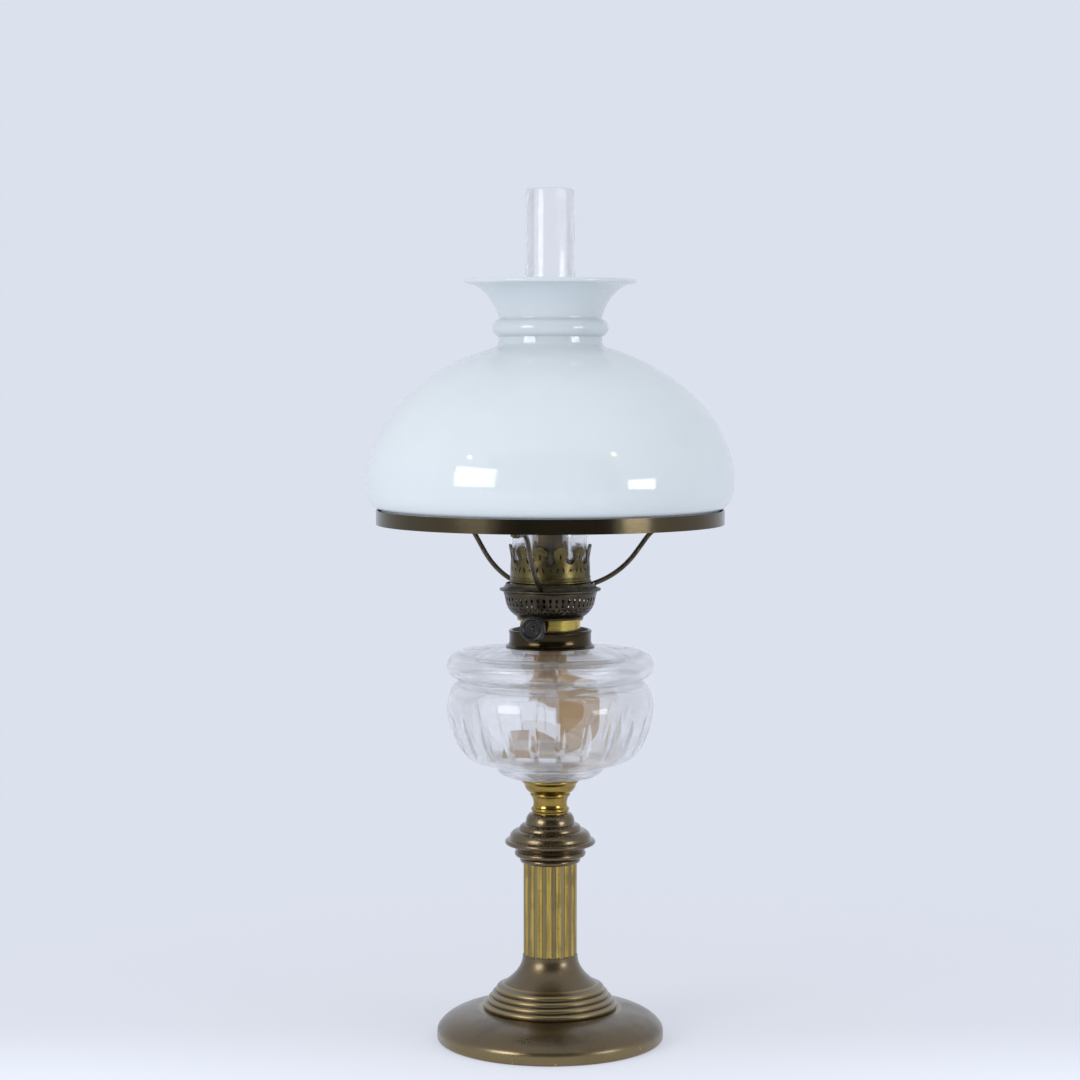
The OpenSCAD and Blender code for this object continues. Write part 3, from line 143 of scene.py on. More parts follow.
class Nodes:
    """The nodes of a material or a world, built up step by step."""

    def __init__(self, owner):
        owner.use_nodes = True
        self.tree = owner.node_tree
        self.tree.nodes.clear()

    def node(self, kind, fed=None, **values):
        """A new node with its own settings, and with its inputs fed by name or number."""
        made = self.tree.nodes.new(kind)
        for key, value in values.items():
            setattr(made, key, value)
        for key, value in (fed or {}).items():
            self.feed(made.inputs[key], value)
        return made

    def join(self, a, b):
        self.tree.links.new(a, b)

    def feed(self, socket, value):
        """Sets a socket, or links it where the value is another socket."""
        if isinstance(value, bpy.types.NodeSocket):
            self.join(value, socket)
        elif socket.type == "RGBA" and len(value) == 3:
            socket.default_value = (*value, 1)
        else:
            socket.default_value = value

    def maths(self, op, a, b=0.0):
        return self.node("ShaderNodeMath", {0: a, 1: b}, operation=op).outputs[0]

    def times(self, a, b):
        return self.maths("MULTIPLY", a, b)

    def fade(self, value, low, high, to_low=0.0, to_high=1.0, kind="SMOOTHSTEP"):
        """Carries low..high to to_low..to_high, smoothly unless kind says otherwise."""
        span = {"Value": value, "From Min": low, "From Max": high, "To Min": to_low, "To Max": to_high}
        return self.node("ShaderNodeMapRange", span, interpolation_type=kind).outputs["Result"]

    def split(self, place):
        """The three parts of a place."""
        return self.node("ShaderNodeSeparateXYZ", {0: place}).outputs

    def looked_at(self):
        """1 for rays that look, straight, mirrored or through glass, and 0 for rays that carry light."""
        rays = self.node("ShaderNodeLightPath").outputs
        direct = self.maths("MAXIMUM", rays["Is Camera Ray"], rays["Is Glossy Ray"])
        return self.maths("MAXIMUM", direct, rays["Is Transmission Ray"])

    def blend(self, share, a, b):
        """Shader a where share is 0 and b where it is 1."""
        return self.node("ShaderNodeMixShader", {0: share, 1: a, 2: b}).outputs[0]


class Finish(Nodes):
    """One node material; places are metres in the lamp's frame."""

    def __init__(self, name):
        self.material = bpy.data.materials.new(name)
        super().__init__(self.material)
        self.shader = self.node("ShaderNodeBsdfPrincipled")
        self.out = self.node("ShaderNodeOutputMaterial", {"Surface": self.shader.outputs[0]})
        self.place = self.node("ShaderNodeTexCoord").outputs["Object"]

    def set(self, **values):
        for key, value in values.items():
            self.feed(self.shader.inputs[key.replace("_", " ").title().replace("Ior", "IOR")], value)

    def source(self, name):
        """What feeds one of the shader's inputs so far."""
        return self.shader.inputs[name].links[0].from_socket

    def mix(self, share, a, b):
        return self.node("ShaderNodeMix", {0: share, 6: a, 7: b}, data_type="RGBA").outputs[2]

    def noise(self, size, detail=3.0, where=None, stretch=(1, 1, 1)):
        """Cloudy value from 0 to 1 whose clouds are about size metres across."""
        scale = [s / size for s in stretch]
        spot = self.node("ShaderNodeMapping", {"Vector": where or self.place, "Scale": scale})
        cloud = {"Vector": spot.outputs[0], "Scale": 1.0, "Detail": detail}
        return self.node("ShaderNodeTexNoise", cloud).outputs["Fac"]

    def radius(self):
        """Distance from the lamp's axis."""
        x, y, _ = self.split(self.place)
        square = self.maths("ADD", self.maths("POWER", x, 2.0), self.maths("POWER", y, 2.0))
        return self.maths("SQRT", square)

    def height(self):
        """Height above the floor."""
        return self.split(self.place)[2]

    def round_about(self):
        """Place as radius and height only, so that patterns run round the axis."""
        return self.node("ShaderNodeCombineXYZ", {0: self.radius(), 2: self.height()}).outputs[0]

    def bump(self, value, depth, strength=1.0, under=None):
        relief = {"Height": value, "Distance": depth, "Strength": strength}
        if under is not None:
            relief["Normal"] = under
        return self.node("ShaderNodeBump", relief).outputs[0]


def toned(hue, share):
    """A colour made darker or lighter by a share."""
    return tuple(min(1, c * share) for c in hue)


def aged_metal(name, bright, dark, rough=(0.24, 0.46), clouds=0.016, dark_share=(0.42, 0.68), specks=0.5,
               lathe=1.0, lacquer=0.0, skin=0.3):
    """Old brass: clouds of tarnish, specks, lathe lines, uneven gloss, and lacquer as rough as its skin."""
    grain_size, speck_size, line_size = 0.0011, 0.0024, 0.0005
    grain_depth, line_depth, line_share = 0.00005, 0.00004, 0.28
    cloud_gloss, grain_gloss = 0.6, 0.4
    f = Finish(name)
    cloud = f.noise(clouds, 5.0)
    grain = f.noise(grain_size, 4.0)
    lines = f.noise(line_size, 2.0, f.round_about())
    speck = f.fade(f.noise(speck_size, 6.0), 0.60, 0.72, 0.0, specks)
    hue = f.mix(f.fade(cloud, *dark_share), bright, dark)
    hue = f.mix(speck, hue, toned(dark, 0.45))
    hue = f.mix(f.fade(lines, 0.35, 0.75, 0.0, line_share * lathe), hue, toned(bright, 0.6))
    uneven = f.maths("ADD", f.times(cloud, cloud_gloss), f.times(grain, grain_gloss))
    scored = f.bump(lines, line_depth * lathe, 0.6)
    f.set(base_color=hue, metallic=1.0, roughness=f.fade(uneven, 0.3, 0.7, *rough), coat_weight=lacquer,
          coat_roughness=skin, normal=f.bump(grain, grain_depth, 0.35, scored))
    return f


def foot_metal(metal):
    """Brown patina, rubbed brass and painted highlight on the bead crests, and bare brass and rust in spots
    along the foot's edge.
    """
    bead_rise, bead_in, bead_step, bead_shift = 0.0037, 0.0029, 0.0047, 0.00795
    beads_start, beads_end = (0.0212, 0.0222), (0.0402, 0.039)
    rubbed_high, chipped_high, rusted_high = (0.011, 0.005), (0.0075, 0.006), (0.0014, 0.0006)
    chip_size, rust_size, rust_brown = 0.0045, 0.012, (0.19, 0.075, 0.025)
    f = aged_metal("foot_patina", metal.patina, metal.patina_dark, rough=(0.26, 0.42), clouds=0.03,
                   dark_share=(0.5, 0.85), specks=0.1, lathe=0.6, lacquer=0.5, skin=0.2)
    high = f.height()
    # Beads follow each other up a slope, one each bead_step along it
    up, out = f.times(high, bead_rise / bead_step), f.times(f.radius(), bead_in / bead_step)
    along = f.maths("ADD", f.maths("SUBTRACT", up, out), bead_shift)
    crest = f.maths("COSINE", f.times(along, 2 * math.pi / bead_step))
    beads = f.times(f.fade(high, *beads_start), f.fade(high, *beads_end))
    # Bead crests get rubbed brass together with a painted highlight, the same all round the foot
    crest_wear_and_highlight = f.times(beads, f.fade(crest, -0.2, 0.9, 0.0, 0.7))
    chips = f.fade(f.noise(chip_size, 3.0, stretch=(1, 1, 0.6)), 0.665, 0.70)
    rust = f.times(f.fade(high, *rusted_high), f.fade(f.noise(rust_size, 3.0), 0.35, 0.6))
    hue = f.mix(crest_wear_and_highlight, f.source("Base Color"), toned(metal.worn, 0.75))
    hue = f.mix(f.fade(high, *rubbed_high, 0.0, 0.22), hue, metal.worn)
    hue = f.mix(f.times(f.fade(high, *chipped_high), chips), hue, metal.worn)
    f.set(base_color=f.mix(rust, hue, rust_brown))
    return f


def column_metal(metal):
    """Yellow brass in the flutes with dull fillets between them, streaked along their length."""
    flute_edge, fillet_r = 0.01800, 0.01836
    streak_size, streak_brown = 0.0016, (0.27, 0.18, 0.045)
    chip_size, chip_brown = 0.003, (0.16, 0.09, 0.03)
    fillet_dull = (0.20, 0.17, 0.105)
    f = aged_metal("column_brass", metal.brass, metal.brass_dark, rough=(0.26, 0.42), clouds=0.02,
                   dark_share=(0.5, 0.85), specks=0.3, lathe=0.2)
    streak = f.fade(f.noise(streak_size, 5.0, stretch=(1, 1, 0.05)), 0.42, 0.68, 0.0, 0.75)
    fillet = f.fade(f.radius(), flute_edge, fillet_r, 0.0, 0.85)
    chips = f.fade(f.noise(chip_size, 4.0), 0.66, 0.70, 0.0, 0.6)
    hue = f.mix(streak, f.source("Base Color"), streak_brown)
    hue = f.mix(fillet, hue, fillet_dull)
    f.set(base_color=f.mix(chips, hue, chip_brown))
    return f


def burner_neck_metal(metal):
    """Bright brass of the burner's neck, with painted shade, dark and dull, on the flange inside the collar.
    """
    flange_h, flange_fade = 8.4, 0.9
    flange_rough, flange_painted_shade = 0.8, (0.03, 0.023, 0.012)
    f = aged_metal("burner_neck_brass", metal.burner_neck, metal.brass_dark, rough=(0.09, 0.18),
                   clouds=0.014, dark_share=(0.5, 0.8), specks=0.35, lathe=0.8)
    flange = foot_of("burner_base") + flange_h
    # Painted shade where the collar hides the flange: below this height it is dark, rough and not metallic
    low = f.fade(f.height(), (flange + flange_fade) * MM, flange * MM)
    gloss = f.maths("MAXIMUM", f.source("Roughness"), f.times(low, flange_rough))
    f.set(base_color=f.mix(low, f.source("Base Color"), flange_painted_shade), roughness=gloss,
          metallic=f.maths("SUBTRACT", 1.0, low))
    return f


def clear_glass(name, tint, ripple, body, haze):
    """Old clear glass with a faint ripple: body is its share of bending light, haze its milky veil."""
    cloud_size, wave_size = 0.03, 0.018
    f = Finish(name)
    cloud = f.noise(cloud_size, 4.0)
    wave = f.noise(wave_size, 2.0, stretch=(1, 1, 0.5))
    f.set(base_color=f.mix(cloud, tint, toned(tint, 0.97)), ior=1.45, transmission_weight=1.0 - haze,
          alpha=body, roughness=f.fade(cloud, 0.3, 0.7, 0.02, 0.05), normal=f.bump(wave, ripple, 0.25))
    return f


def opal_glass(tint, neck):
    """Dense opal glass that glows a little, greyer above its neck as thinner glass and as painted shade,
    under a glossy skin.
    """
    cloud_size, seed_size, skin_size = 0.07, 0.0016, 0.03
    wave_size, wave_depth, neck_fade = 0.035, 0.0003, 0.006
    f = Finish("opal_glass")
    seed = f.fade(f.noise(seed_size, 2.0), 0.74, 0.80, 0.0, 0.35)
    # Painted shade, with the grey of thinner glass: the opal turns darker above the neck
    above = f.fade(f.height(), neck - neck_fade, neck + neck_fade)
    hue = f.mix(f.fade(f.noise(cloud_size, 3.0), 0.3, 0.7), tint, toned(tint, 0.965))
    hue = f.mix(above, hue, toned(tint, 0.86))
    f.set(base_color=f.mix(seed, hue, toned(tint, 0.8)), ior=1.52,
          subsurface_weight=0.35, subsurface_scale=0.012, subsurface_radius=(1.0, 1.0, 1.0),
          roughness=f.fade(f.noise(skin_size, 3.0), 0.3, 0.7, 0.045, 0.085),
          normal=f.bump(f.noise(wave_size, 2.0), wave_depth, 0.3))
    return f


def woven_cotton(wick):
    """Tan woven cotton with oil stains."""
    stain_size, fluff_size, fluff_depth = 0.022, 0.0009, 0.0002
    weave_turn, weave_tilt, weave_depth, yarns = 0.6, 0.3, 0.0004, 3.2
    f = Finish("woven_cotton")
    weave = []
    for turn in (weave_turn, -weave_turn):
        lie = f.node("ShaderNodeMapping", {"Vector": f.place, "Rotation": (0.0, turn, weave_tilt * turn)})
        yarn = {"Vector": lie.outputs[0], "Scale": 1.0 / (wick.thread * yarns),
                "Distortion": 1.5, "Detail": 2.0}
        weave.append(f.node("ShaderNodeTexWave", yarn, bands_direction="X").outputs["Fac"])
    cross = f.maths("MAXIMUM", *weave)
    fluff = f.noise(fluff_size, 5.0)
    hue = f.mix(f.fade(f.noise(stain_size, 4.0), 0.42, 0.66), wick.cotton, wick.cotton_dark)
    hue = f.mix(f.fade(cross, 0.2, 0.75, 0.55, 0.0), hue, toned(wick.cotton_dark, 0.7))
    hue = f.mix(f.fade(fluff, 0.4, 0.7, 0.0, 0.3), hue, toned(wick.cotton, 1.25))
    f.set(base_color=hue, roughness=0.92, sheen_weight=0.25, sheen_roughness=0.6,
          normal=f.bump(fluff, fluff_depth, 0.6, f.bump(cross, weave_depth, 0.8)))
    return f


def plain_solid(name, hue, rough, metallic=0.0):
    """Hidden pieces: iron, steel and plaster with a grain."""
    grain_size, grain_depth = 0.002, 0.0002
    f = Finish(name)
    grain = f.noise(grain_size, 5.0)
    f.set(base_color=f.mix(f.fade(grain, 0.35, 0.7), hue, toned(hue, 0.7)), roughness=rough,
          metallic=metallic, normal=f.bump(grain, grain_depth, 0.4))
    return f


def dress(finish, *nodes, angle=38):
    """Gives CAD nodes a finish and smooth shading over their gentle edges."""
    same_place = 0.000004
    for name in nodes:
        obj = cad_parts[name]
        obj.data.materials.clear()
        obj.data.materials.append(finish.material)
        if "custom_normal" in obj.data.attributes:
            obj.data.attributes.remove(obj.data.attributes["custom_normal"])
        obj.data.polygons.foreach_set("use_smooth", [True] * len(obj.data.polygons))
        weld = obj.modifiers.new("weld", "WELD")
        weld.merge_threshold = same_place
        split = obj.modifiers.new("crisp_edges", "EDGE_SPLIT")
        split.split_angle = math.radians(angle)
        split.use_edge_sharp = False


def piece(name, points, faces, finish, body, slot, *nodes, smooth=40):
    """A new mesh object that stands for CAD nodes and rides on a body, if one is given."""
    mesh = bpy.data.meshes.new(name)
    mesh.from_pydata([tuple(p) for p in points], [], faces)
    mesh.validate()
    mesh.polygons.foreach_set("use_smooth", [True] * len(mesh.polygons))
    mesh.set_sharp_from_angle(angle=math.radians(smooth))
    mesh.materials.append(finish.material)
    obj = bpy.data.objects.new(name, mesh)
    bpy.context.scene.collection.objects.link(obj)
    if body:
        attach(obj, body)
    if nodes:
        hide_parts(*nodes)
    return obj


def arc(c, r, a0, a1, n=12, ry=None):
    """Points [radius, height] on a round or oval arc."""
    a = np.radians(np.linspace(a0, a1, n + 1))
    return np.column_stack((c[0] + r * np.cos(a), c[1] + (r if ry is None else ry) * np.sin(a)))


def bend(p, q, s, n=16):
    """Points on a bend from p to s that is drawn towards q."""
    t = np.linspace(0, 1, n + 1)[:, None]
    return (1 - t) ** 2 * np.array(p) + 2 * t * (1 - t) * np.array(q) + t * t * np.array(s)


def line(*points, step=4.0):
    """Points along straight runs, no further apart than step."""
    out = [np.array(points[0], float)]
    for a, b in zip(points, points[1:]):
        a, b = np.array(a, float), np.array(b, float)
        n = max(1, int(np.ceil(np.linalg.norm(b - a) / step)))
        out += [a + (b - a) * i / n for i in range(1, n + 1)]
    return np.array(out)


def joined(*runs, closest=0.02):
    """One outline from several runs, without doubled points."""
    p = np.vstack(runs)
    keep = np.concatenate(([True], np.linalg.norm(np.diff(p, axis=0), axis=1) > closest))
    return p[keep]


def beside(p, t):
    """The outline moved to its left by t, with mitred corners."""
    d = np.diff(p, axis=0)
    left = np.column_stack((-d[:, 1], d[:, 0])) / np.linalg.norm(d, axis=1)[:, None]
    m = np.vstack((left[:1] * 2, left[:-1] + left[1:], left[-1:] * 2))
    return p + 2 * t * m / (m * m).sum(1)[:, None]


def turned(profile, steps):
    """Points and faces of a closed profile [radius, height] in millimetres turned round the axis."""
    a = np.linspace(0, 2 * np.pi, steps, endpoint=False)
    n = len(profile)
    r, z = profile[:, 0] * MM, profile[:, 1] * MM
    points = np.empty((steps, n, 3))
    points[:, :, 0] = np.sin(a)[:, None] * r
    points[:, :, 1] = -np.cos(a)[:, None] * r
    points[:, :, 2] = z
    on_axis = profile[:, 0] < 1e-6
    faces = []
    for i in range(steps):
        k = (i + 1) % steps * n
        for j in range(n):
            q = (j + 1) % n
            if not (on_axis[j] and on_axis[q]):
                faces.append((i * n + j, k + j, k + q, i * n + q))
    return points.reshape(-1, 3), faces


def shell(outer, inner, base, steps, shape=None):
    """A turned wall between two outlines that start at height base; shape may move its points."""
    points, faces = turned(np.vstack((outer, inner[::-1])) + (0, base), steps)
    if shape is not None:
        points = shape(points.reshape(steps, -1, 3), len(outer)).reshape(-1, 3)
    return points, faces


def placed(points, matrix):
    """Points moved by a matrix."""
    m = np.array(matrix)
    return points @ m[:3, :3].T + m[:3, 3]


def top_of(node):
    """Height of a CAD node's top in millimetres."""
    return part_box(node)[1].z / MM


def foot_of(node):
    """Height of a CAD node's foot in millimetres."""
    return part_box(node)[0].z / MM


class LAMP_OT_stage(bpy.types.Operator):
    """Set up camera, floor, backdrop and soft light"""

    bl_idname = "lamp.stage"
    bl_label = "Stage"

    sensor = 36
    floor_rings, floor_steps, floor_z = (0.0, 0.15, 0.4, 0.8, 1.4, 2.4, 4.0, 8.0, 20.0), 64, -0.02
    floor_cloud, shadow_r, shadow_share = 0.4, (0.08, 0.7), 0.5
    front_y, front_r, front_glow = (0.06, -0.16), (0.7, 0.3), 0.3
    card_behind, card_high, card_grain = 0.7, 2.4, 0.02
    card_dark, card_light = (0.10, 0.10, 0.11), (0.12, 0.12, 0.13)
    sky, sky_high = (0.93, 0.965, 1.0), 0.9
    aim_z, lights_away = 0.4, 2.1
    left_size, right_size, daylight = (0.98, 0.74), (0.68, 0.40), (0.97, 0.98, 1.0)
    warm_size, warm_level, warm_hue = (0.14, 0.14), 11.0, (1.0, 0.74, 0.32)

    def execute(self, context):
        s = context.scene.lamp_stage
        self.camera(context, s)
        self.floor(s)
        self.card(s)
        self.world(context, s)
        self.lights(s)
        context.scene.view_settings.view_transform = "Standard"
        return {"FINISHED"}

    def camera(self, context, s):
        data = bpy.data.cameras.new("lamp_camera")
        data.sensor_width = self.sensor
        data.lens = s.focal
        obj = bpy.data.objects.new("lamp_camera", data)
        obj.location = (s.aside, -s.distance, s.height)
        obj.rotation_euler = (math.pi / 2 - s.tilt, 0, 0)
        context.scene.collection.objects.link(obj)
        context.scene.camera = obj

    def flat(self, name, points, faces, finish):
        """A flat mesh of the stage."""
        mesh = bpy.data.meshes.new(name)
        mesh.from_pydata([tuple(p) for p in points], [], faces)
        mesh.materials.append(finish.material)
        obj = bpy.data.objects.new(name, mesh)
        bpy.context.scene.collection.objects.link(obj)
        return obj

    def floor(self, s):
        """A round floor, without the faces that would close its outline."""
        rings = self.floor_rings
        points, faces = turned(np.array([[r / MM, self.floor_z] for r in rings]), self.floor_steps)
        self.flat("floor", points, [face for face in faces if face[2] % len(rings)], self.pale_floor(s))

    def pale_floor(self, s):
        """Takes the lamp's shadow, fades into the backdrop's colour further out, and has a painted pool of
        light in front.
        """
        f = Finish("pale_floor")
        f.set(base_color=f.mix(f.noise(self.floor_cloud, 3.0), s.floor, toned(s.floor, 0.97)), roughness=0.8,
              specular_ior_level=0.2)
        far = f.fade(f.radius(), *self.shadow_r, self.shadow_share, 1.0)
        # Painted pool of light: the glow seen by the camera grows brighter in front of the lamp
        front = f.fade(f.split(f.place)[1], *self.front_y, 0.0, self.front_glow)
        near = f.fade(f.radius(), *self.front_r)
        strength = f.maths("ADD", f.times(front, near), 1.0)
        glow = f.node("ShaderNodeEmission", {"Color": s.backdrop, "Strength": strength})
        both = f.blend(f.times(far, f.looked_at()), f.shader.outputs[0], glow.outputs[0])
        f.join(both, f.out.inputs["Surface"])
        return f

    def card(self, s):
        """A dark card behind the camera that shows only in reflections."""
        half, back, high = s.card / 2, -s.distance - self.card_behind, self.card_high
        corners = [(-half, back, 0), (half, back, 0), (half, back, high), (-half, back, high)]
        f = Finish("dark_card")
        hue = f.mix(f.noise(self.card_grain, 3.0), self.card_dark, self.card_light)
        f.set(base_color=hue, roughness=0.95)
        obj = self.flat("dark_card", corners, [(0, 1, 2, 3)], f)
        obj.visible_camera = obj.visible_diffuse = obj.visible_transmission = obj.visible_shadow = False

    def world(self, context, s):
        """Light from all round, stronger from above, and the plain backdrop where a ray looks at it."""
        world = bpy.data.worlds.new("studio")
        n = Nodes(world)
        up = n.split(n.node("ShaderNodeTexCoord").outputs["Generated"])[2]
        level = n.fade(up, 0.0, self.sky_high, s.ambient, s.overhead, "LINEAR")
        wide = n.node("ShaderNodeBackground", {"Color": self.sky, "Strength": level})
        seen = n.node("ShaderNodeBackground", {"Color": s.backdrop, "Strength": 1.0})
        both = n.blend(n.looked_at(), wide.outputs[0], seen.outputs[0])
        n.node("ShaderNodeOutputWorld", {"Surface": both})
        context.scene.world = world

    def lights(self, s):
        """Two large cool lights and two small warm ones, by turn and rise in degrees from the shade."""
        self.light("left_cool", -46.5, 9.6, "RECTANGLE", self.left_size, s.key, self.daylight)
        self.light("right_cool", 56.0, 1.7, "RECTANGLE", self.right_size, s.fill, self.daylight)
        self.light("left_warm", -54.0, 28.4, "DISK", self.warm_size, self.warm_level, self.warm_hue)
        self.light("right_warm", 43.0, 32.9, "DISK", self.warm_size, self.warm_level, self.warm_hue)

    def light(self, name, turn, rise, shape, size, level, hue):
        """A soft light whose face has that brightness, turned to the shade."""
        t, e = math.radians(turn), math.radians(rise)
        way = Vector((math.sin(t) * math.cos(e), -math.cos(t) * math.cos(e), math.sin(e)))
        data = bpy.data.lights.new(name, "AREA")
        data.shape = shape
        data.size, data.size_y = size
        area = size[0] * size[1] * (math.pi / 4 if shape == "DISK" else 1)
        data.energy = level * math.pi * area
        data.color = hue
        obj = bpy.data.objects.new(name, data)
        obj.location = Vector((0, 0, self.aim_z)) + way * self.lights_away
        obj.rotation_mode = "QUATERNION"
        obj.rotation_quaternion = way.to_track_quat("Z", "Y")
        # Seen from behind, a light would glare through the chimney
        obj.visible_transmission = False
        bpy.context.scene.collection.objects.link(obj)


class LAMP_OT_stand(bpy.types.Operator):
    """Finish the foot, column, capital, neck and cup, and the weight, rod, shaft and plaster inside"""

    bl_idname = "lamp.stand"
    bl_label = "Stand"

    iron, steel, plaster = (0.05, 0.047, 0.044), (0.42, 0.42, 0.43), (0.36, 0.27, 0.15)

    def execute(self, context):
        m = context.scene.lamp_metal
        dress(foot_metal(m), "foot_shell")
        dress(column_metal(m), "column", angle=50)
        dress(aged_metal("capital_patina", m.patina, m.patina_dark, rough=(0.2, 0.34), clouds=0.02,
                         dark_share=(0.5, 0.85), specks=0.3, lathe=0.8, lacquer=0.5, skin=0.16), "capital")
        dress(aged_metal("neck_brass", m.neck, m.brass_dark, rough=(0.14, 0.26)), "neck", "font_cup")
        dress(plain_solid("cast_iron", self.iron, rough=0.75, metallic=0.6), "foot_weight")
        dress(plain_solid("bare_steel", self.steel, rough=0.38, metallic=1.0),
              "tie_rod", "rod_nuts", "rod_washer", "wick_shaft")
        dress(plain_solid("oiled_plaster", self.plaster, rough=0.9), "font_cement", "collar_cement")
        return {"FINISHED"}


class LAMP_OT_font(bpy.types.Operator):
    """Blow the clear font with its olive cuts"""

    bl_idname = "lamp.font"
    bl_label = "Font"

    saucer_r0, saucer_r, saucer_h = 19.5, 37.4, 8.6
    peg_r, peg_h, peg_round = 14.0, 3.4, 0.6
    knee, knee_slope, knee_down, knee_up = (60.0, 18.1), 50.5, 8.7, 14.9
    belly_r, belly_h = 71.2, 49.6
    waist_r, waist_h, waist_end, waist_rise = 61.7, 67.5, 85, 1.0
    bead_c, bead_r, bead_from, bead_to = (62.1, 78.6), 9.1, -95, 150
    top_h, seat_r = 91.0, 31.4
    neck_r, neck_h, neck_t = 26.4, 6.6, 2.0
    wall, crease = 3.2, 0.4
    olives, olive_r, olive_depth = 24, 4.2, 2.0
    olive_at, olive_slope, olive_turn = (67.4, 31.5), 20.0, 5.5
    # Share of the columns that lie in a cut, and least half width of its tips as a share of half the pitch
    olive_share, olive_tip = 0.5, 0.1
    halvings, shut = 30, 1e-6
    ripple, body, haze = 0.00015, 0.70, 0.04

    def execute(self, context):
        g = context.scene.lamp_glass
        outer, inner = self.outline()
        base = foot_of("font") + self.peg_h
        points, faces = shell(outer, inner, base, g.steps, lambda p, n: self.cut(p, n, base))
        glass = clear_glass("font_glass", g.clear, self.ripple, self.body, self.haze)
        piece("font_glass", points, faces, glass, "stand", "clear_glass", "font", smooth=28)
        return {"FINISHED"}

    def outline(self):
        slope = math.radians(self.knee_slope)
        knee, run = np.array(self.knee), np.array((math.cos(slope), math.sin(slope)))
        bead = arc(self.bead_c, self.bead_r, self.bead_from, self.bead_to, n=30)
        pull = ((bead[-1][0] + self.seat_r) / 2, self.top_h - self.crease)
        saucer = (self.saucer_r + self.crease, self.saucer_h + self.crease)
        wall = joined(
            arc((self.saucer_r0, self.saucer_h), self.saucer_r - self.saucer_r0, -90, 0, n=12,
                ry=self.saucer_h),
            bend(saucer, knee - self.knee_down * run, knee, n=12),
            bend(knee, knee + self.knee_up * run, (self.belly_r, self.belly_h), n=40),
            arc((self.waist_r, self.belly_h), self.belly_r - self.waist_r, 0, self.waist_end, n=16,
                ry=self.waist_h - self.belly_h),
            [[self.waist_r - self.crease, self.waist_h + self.waist_rise]],
            bead,
            bend(bead[-1], pull, (self.seat_r, self.top_h), n=10),
            [[self.neck_r, self.top_h]])
        inner = beside(wall, self.wall)[:-1:2]
        low = line((0, -self.peg_h), (self.peg_r - self.peg_round, -self.peg_h),
                   (self.peg_r, self.peg_round - self.peg_h), (self.peg_r, 0))
        half = self.neck_t / 2
        rim = arc((self.neck_r - half, self.top_h + self.neck_h - half), half, 0, 180, n=8)
        bore = [[self.neck_r - self.neck_t, self.top_h - self.wall]]
        return joined(low, wall, rim, bore), joined([[0, self.wall]], inner)

    def sunk(self, r, d, z):
        """Place in the cutter's frame of points at radius r, d off the cut's middle and z over the base."""
        s = math.radians(self.olive_slope)
        x, y, z = r * np.cos(d) - self.olive_at[0], r * np.sin(d), z - self.olive_at[1]
        across = x * math.cos(s) - z * math.sin(s) - (self.olive_r - self.olive_depth)
        return across, x * math.sin(s) + z * math.cos(s), y

    def opening(self, r, z):
        """Half the angle that the cutter opens at each radius and height."""
        low, high = np.zeros_like(r), np.full_like(r, math.pi / self.olives)
        for _ in range(self.halvings):
            d = (low + high) / 2
            across, _, y = self.sunk(r, d, z)
            inside = across**2 + y**2 < self.olive_r**2
            low, high = np.where(inside, d, low), np.where(inside, high, d)
        return low

    def cut(self, points, n, base):
        """Draws outer columns onto the edges of the olive cuts and sinks what lies between them."""
        p = points[:, :n] / MM
        r, z = np.hypot(p[..., 0], p[..., 1]), p[..., 2] - base
        half, share = math.pi / self.olives, self.olive_share
        turn = np.arctan2(p[..., 0], -p[..., 1])
        near = np.round(turn / (2 * half)) * 2 * half
        q = np.abs(turn - near) / half
        edge = self.opening(r[0], z[0])
        edge = np.where(edge > self.shut, np.maximum(edge, self.olive_tip * half), share * half)
        d = np.where(q < share, q / share * edge, edge + (q - share) / (1 - share) * (half - edge))
        d = np.where(turn < near, -d, d)
        across, along, y = self.sunk(r, d, z)
        inside = across**2 + y**2 < self.olive_r**2
        sunk = -np.sqrt(np.maximum(self.olive_r**2 - y**2, 0))
        across = np.where(inside, sunk, across) + self.olive_r - self.olive_depth
        s = math.radians(self.olive_slope)
        x = across * math.cos(s) + along * math.sin(s) + self.olive_at[0]
        z = along * math.cos(s) - across * math.sin(s) + self.olive_at[1] + base
        r, a = np.hypot(x, y), np.arctan2(y, x) + near
        out = points.copy()
        out[:, :n] = np.stack((r * np.sin(a), -r * np.cos(a), z), -1) * MM
        return placed(out, Matrix.Rotation(math.radians(self.olive_turn), 4, "Z"))


class LAMP_OT_burner(bpy.types.Operator):
    """Finish the collar, burner neck, basket, crown and tubes"""

    bl_idname = "lamp.burner"
    bl_label = "Burner"

    collar_dark, basket_dark = (0.02, 0.014, 0.008), (0.032, 0.025, 0.016)
    crown_dark, tube_dark = (0.055, 0.04, 0.019), (0.04, 0.028, 0.013)

    def execute(self, context):
        m = context.scene.lamp_metal
        dress(aged_metal("collar_brass", m.collar, self.collar_dark, rough=(0.11, 0.2), clouds=0.02,
                         dark_share=(0.5, 0.9), specks=0.2), "collar")
        dress(burner_neck_metal(m), "burner_base", "shaft_bush")
        dress(aged_metal("basket_brass", m.soot, self.basket_dark, rough=(0.28, 0.46), clouds=0.009,
                         lacquer=0.3), "basket")
        dress(aged_metal("crown_brass", m.burner, self.crown_dark, rough=(0.24, 0.38), clouds=0.01),
              "crown", "gallery_plate", "wick_cogs")
        dress(aged_metal("tube_brass", m.tube, self.tube_dark, rough=(0.14, 0.26), clouds=0.014),
              "wick_tube", "draft_tube")
        return {"FINISHED"}


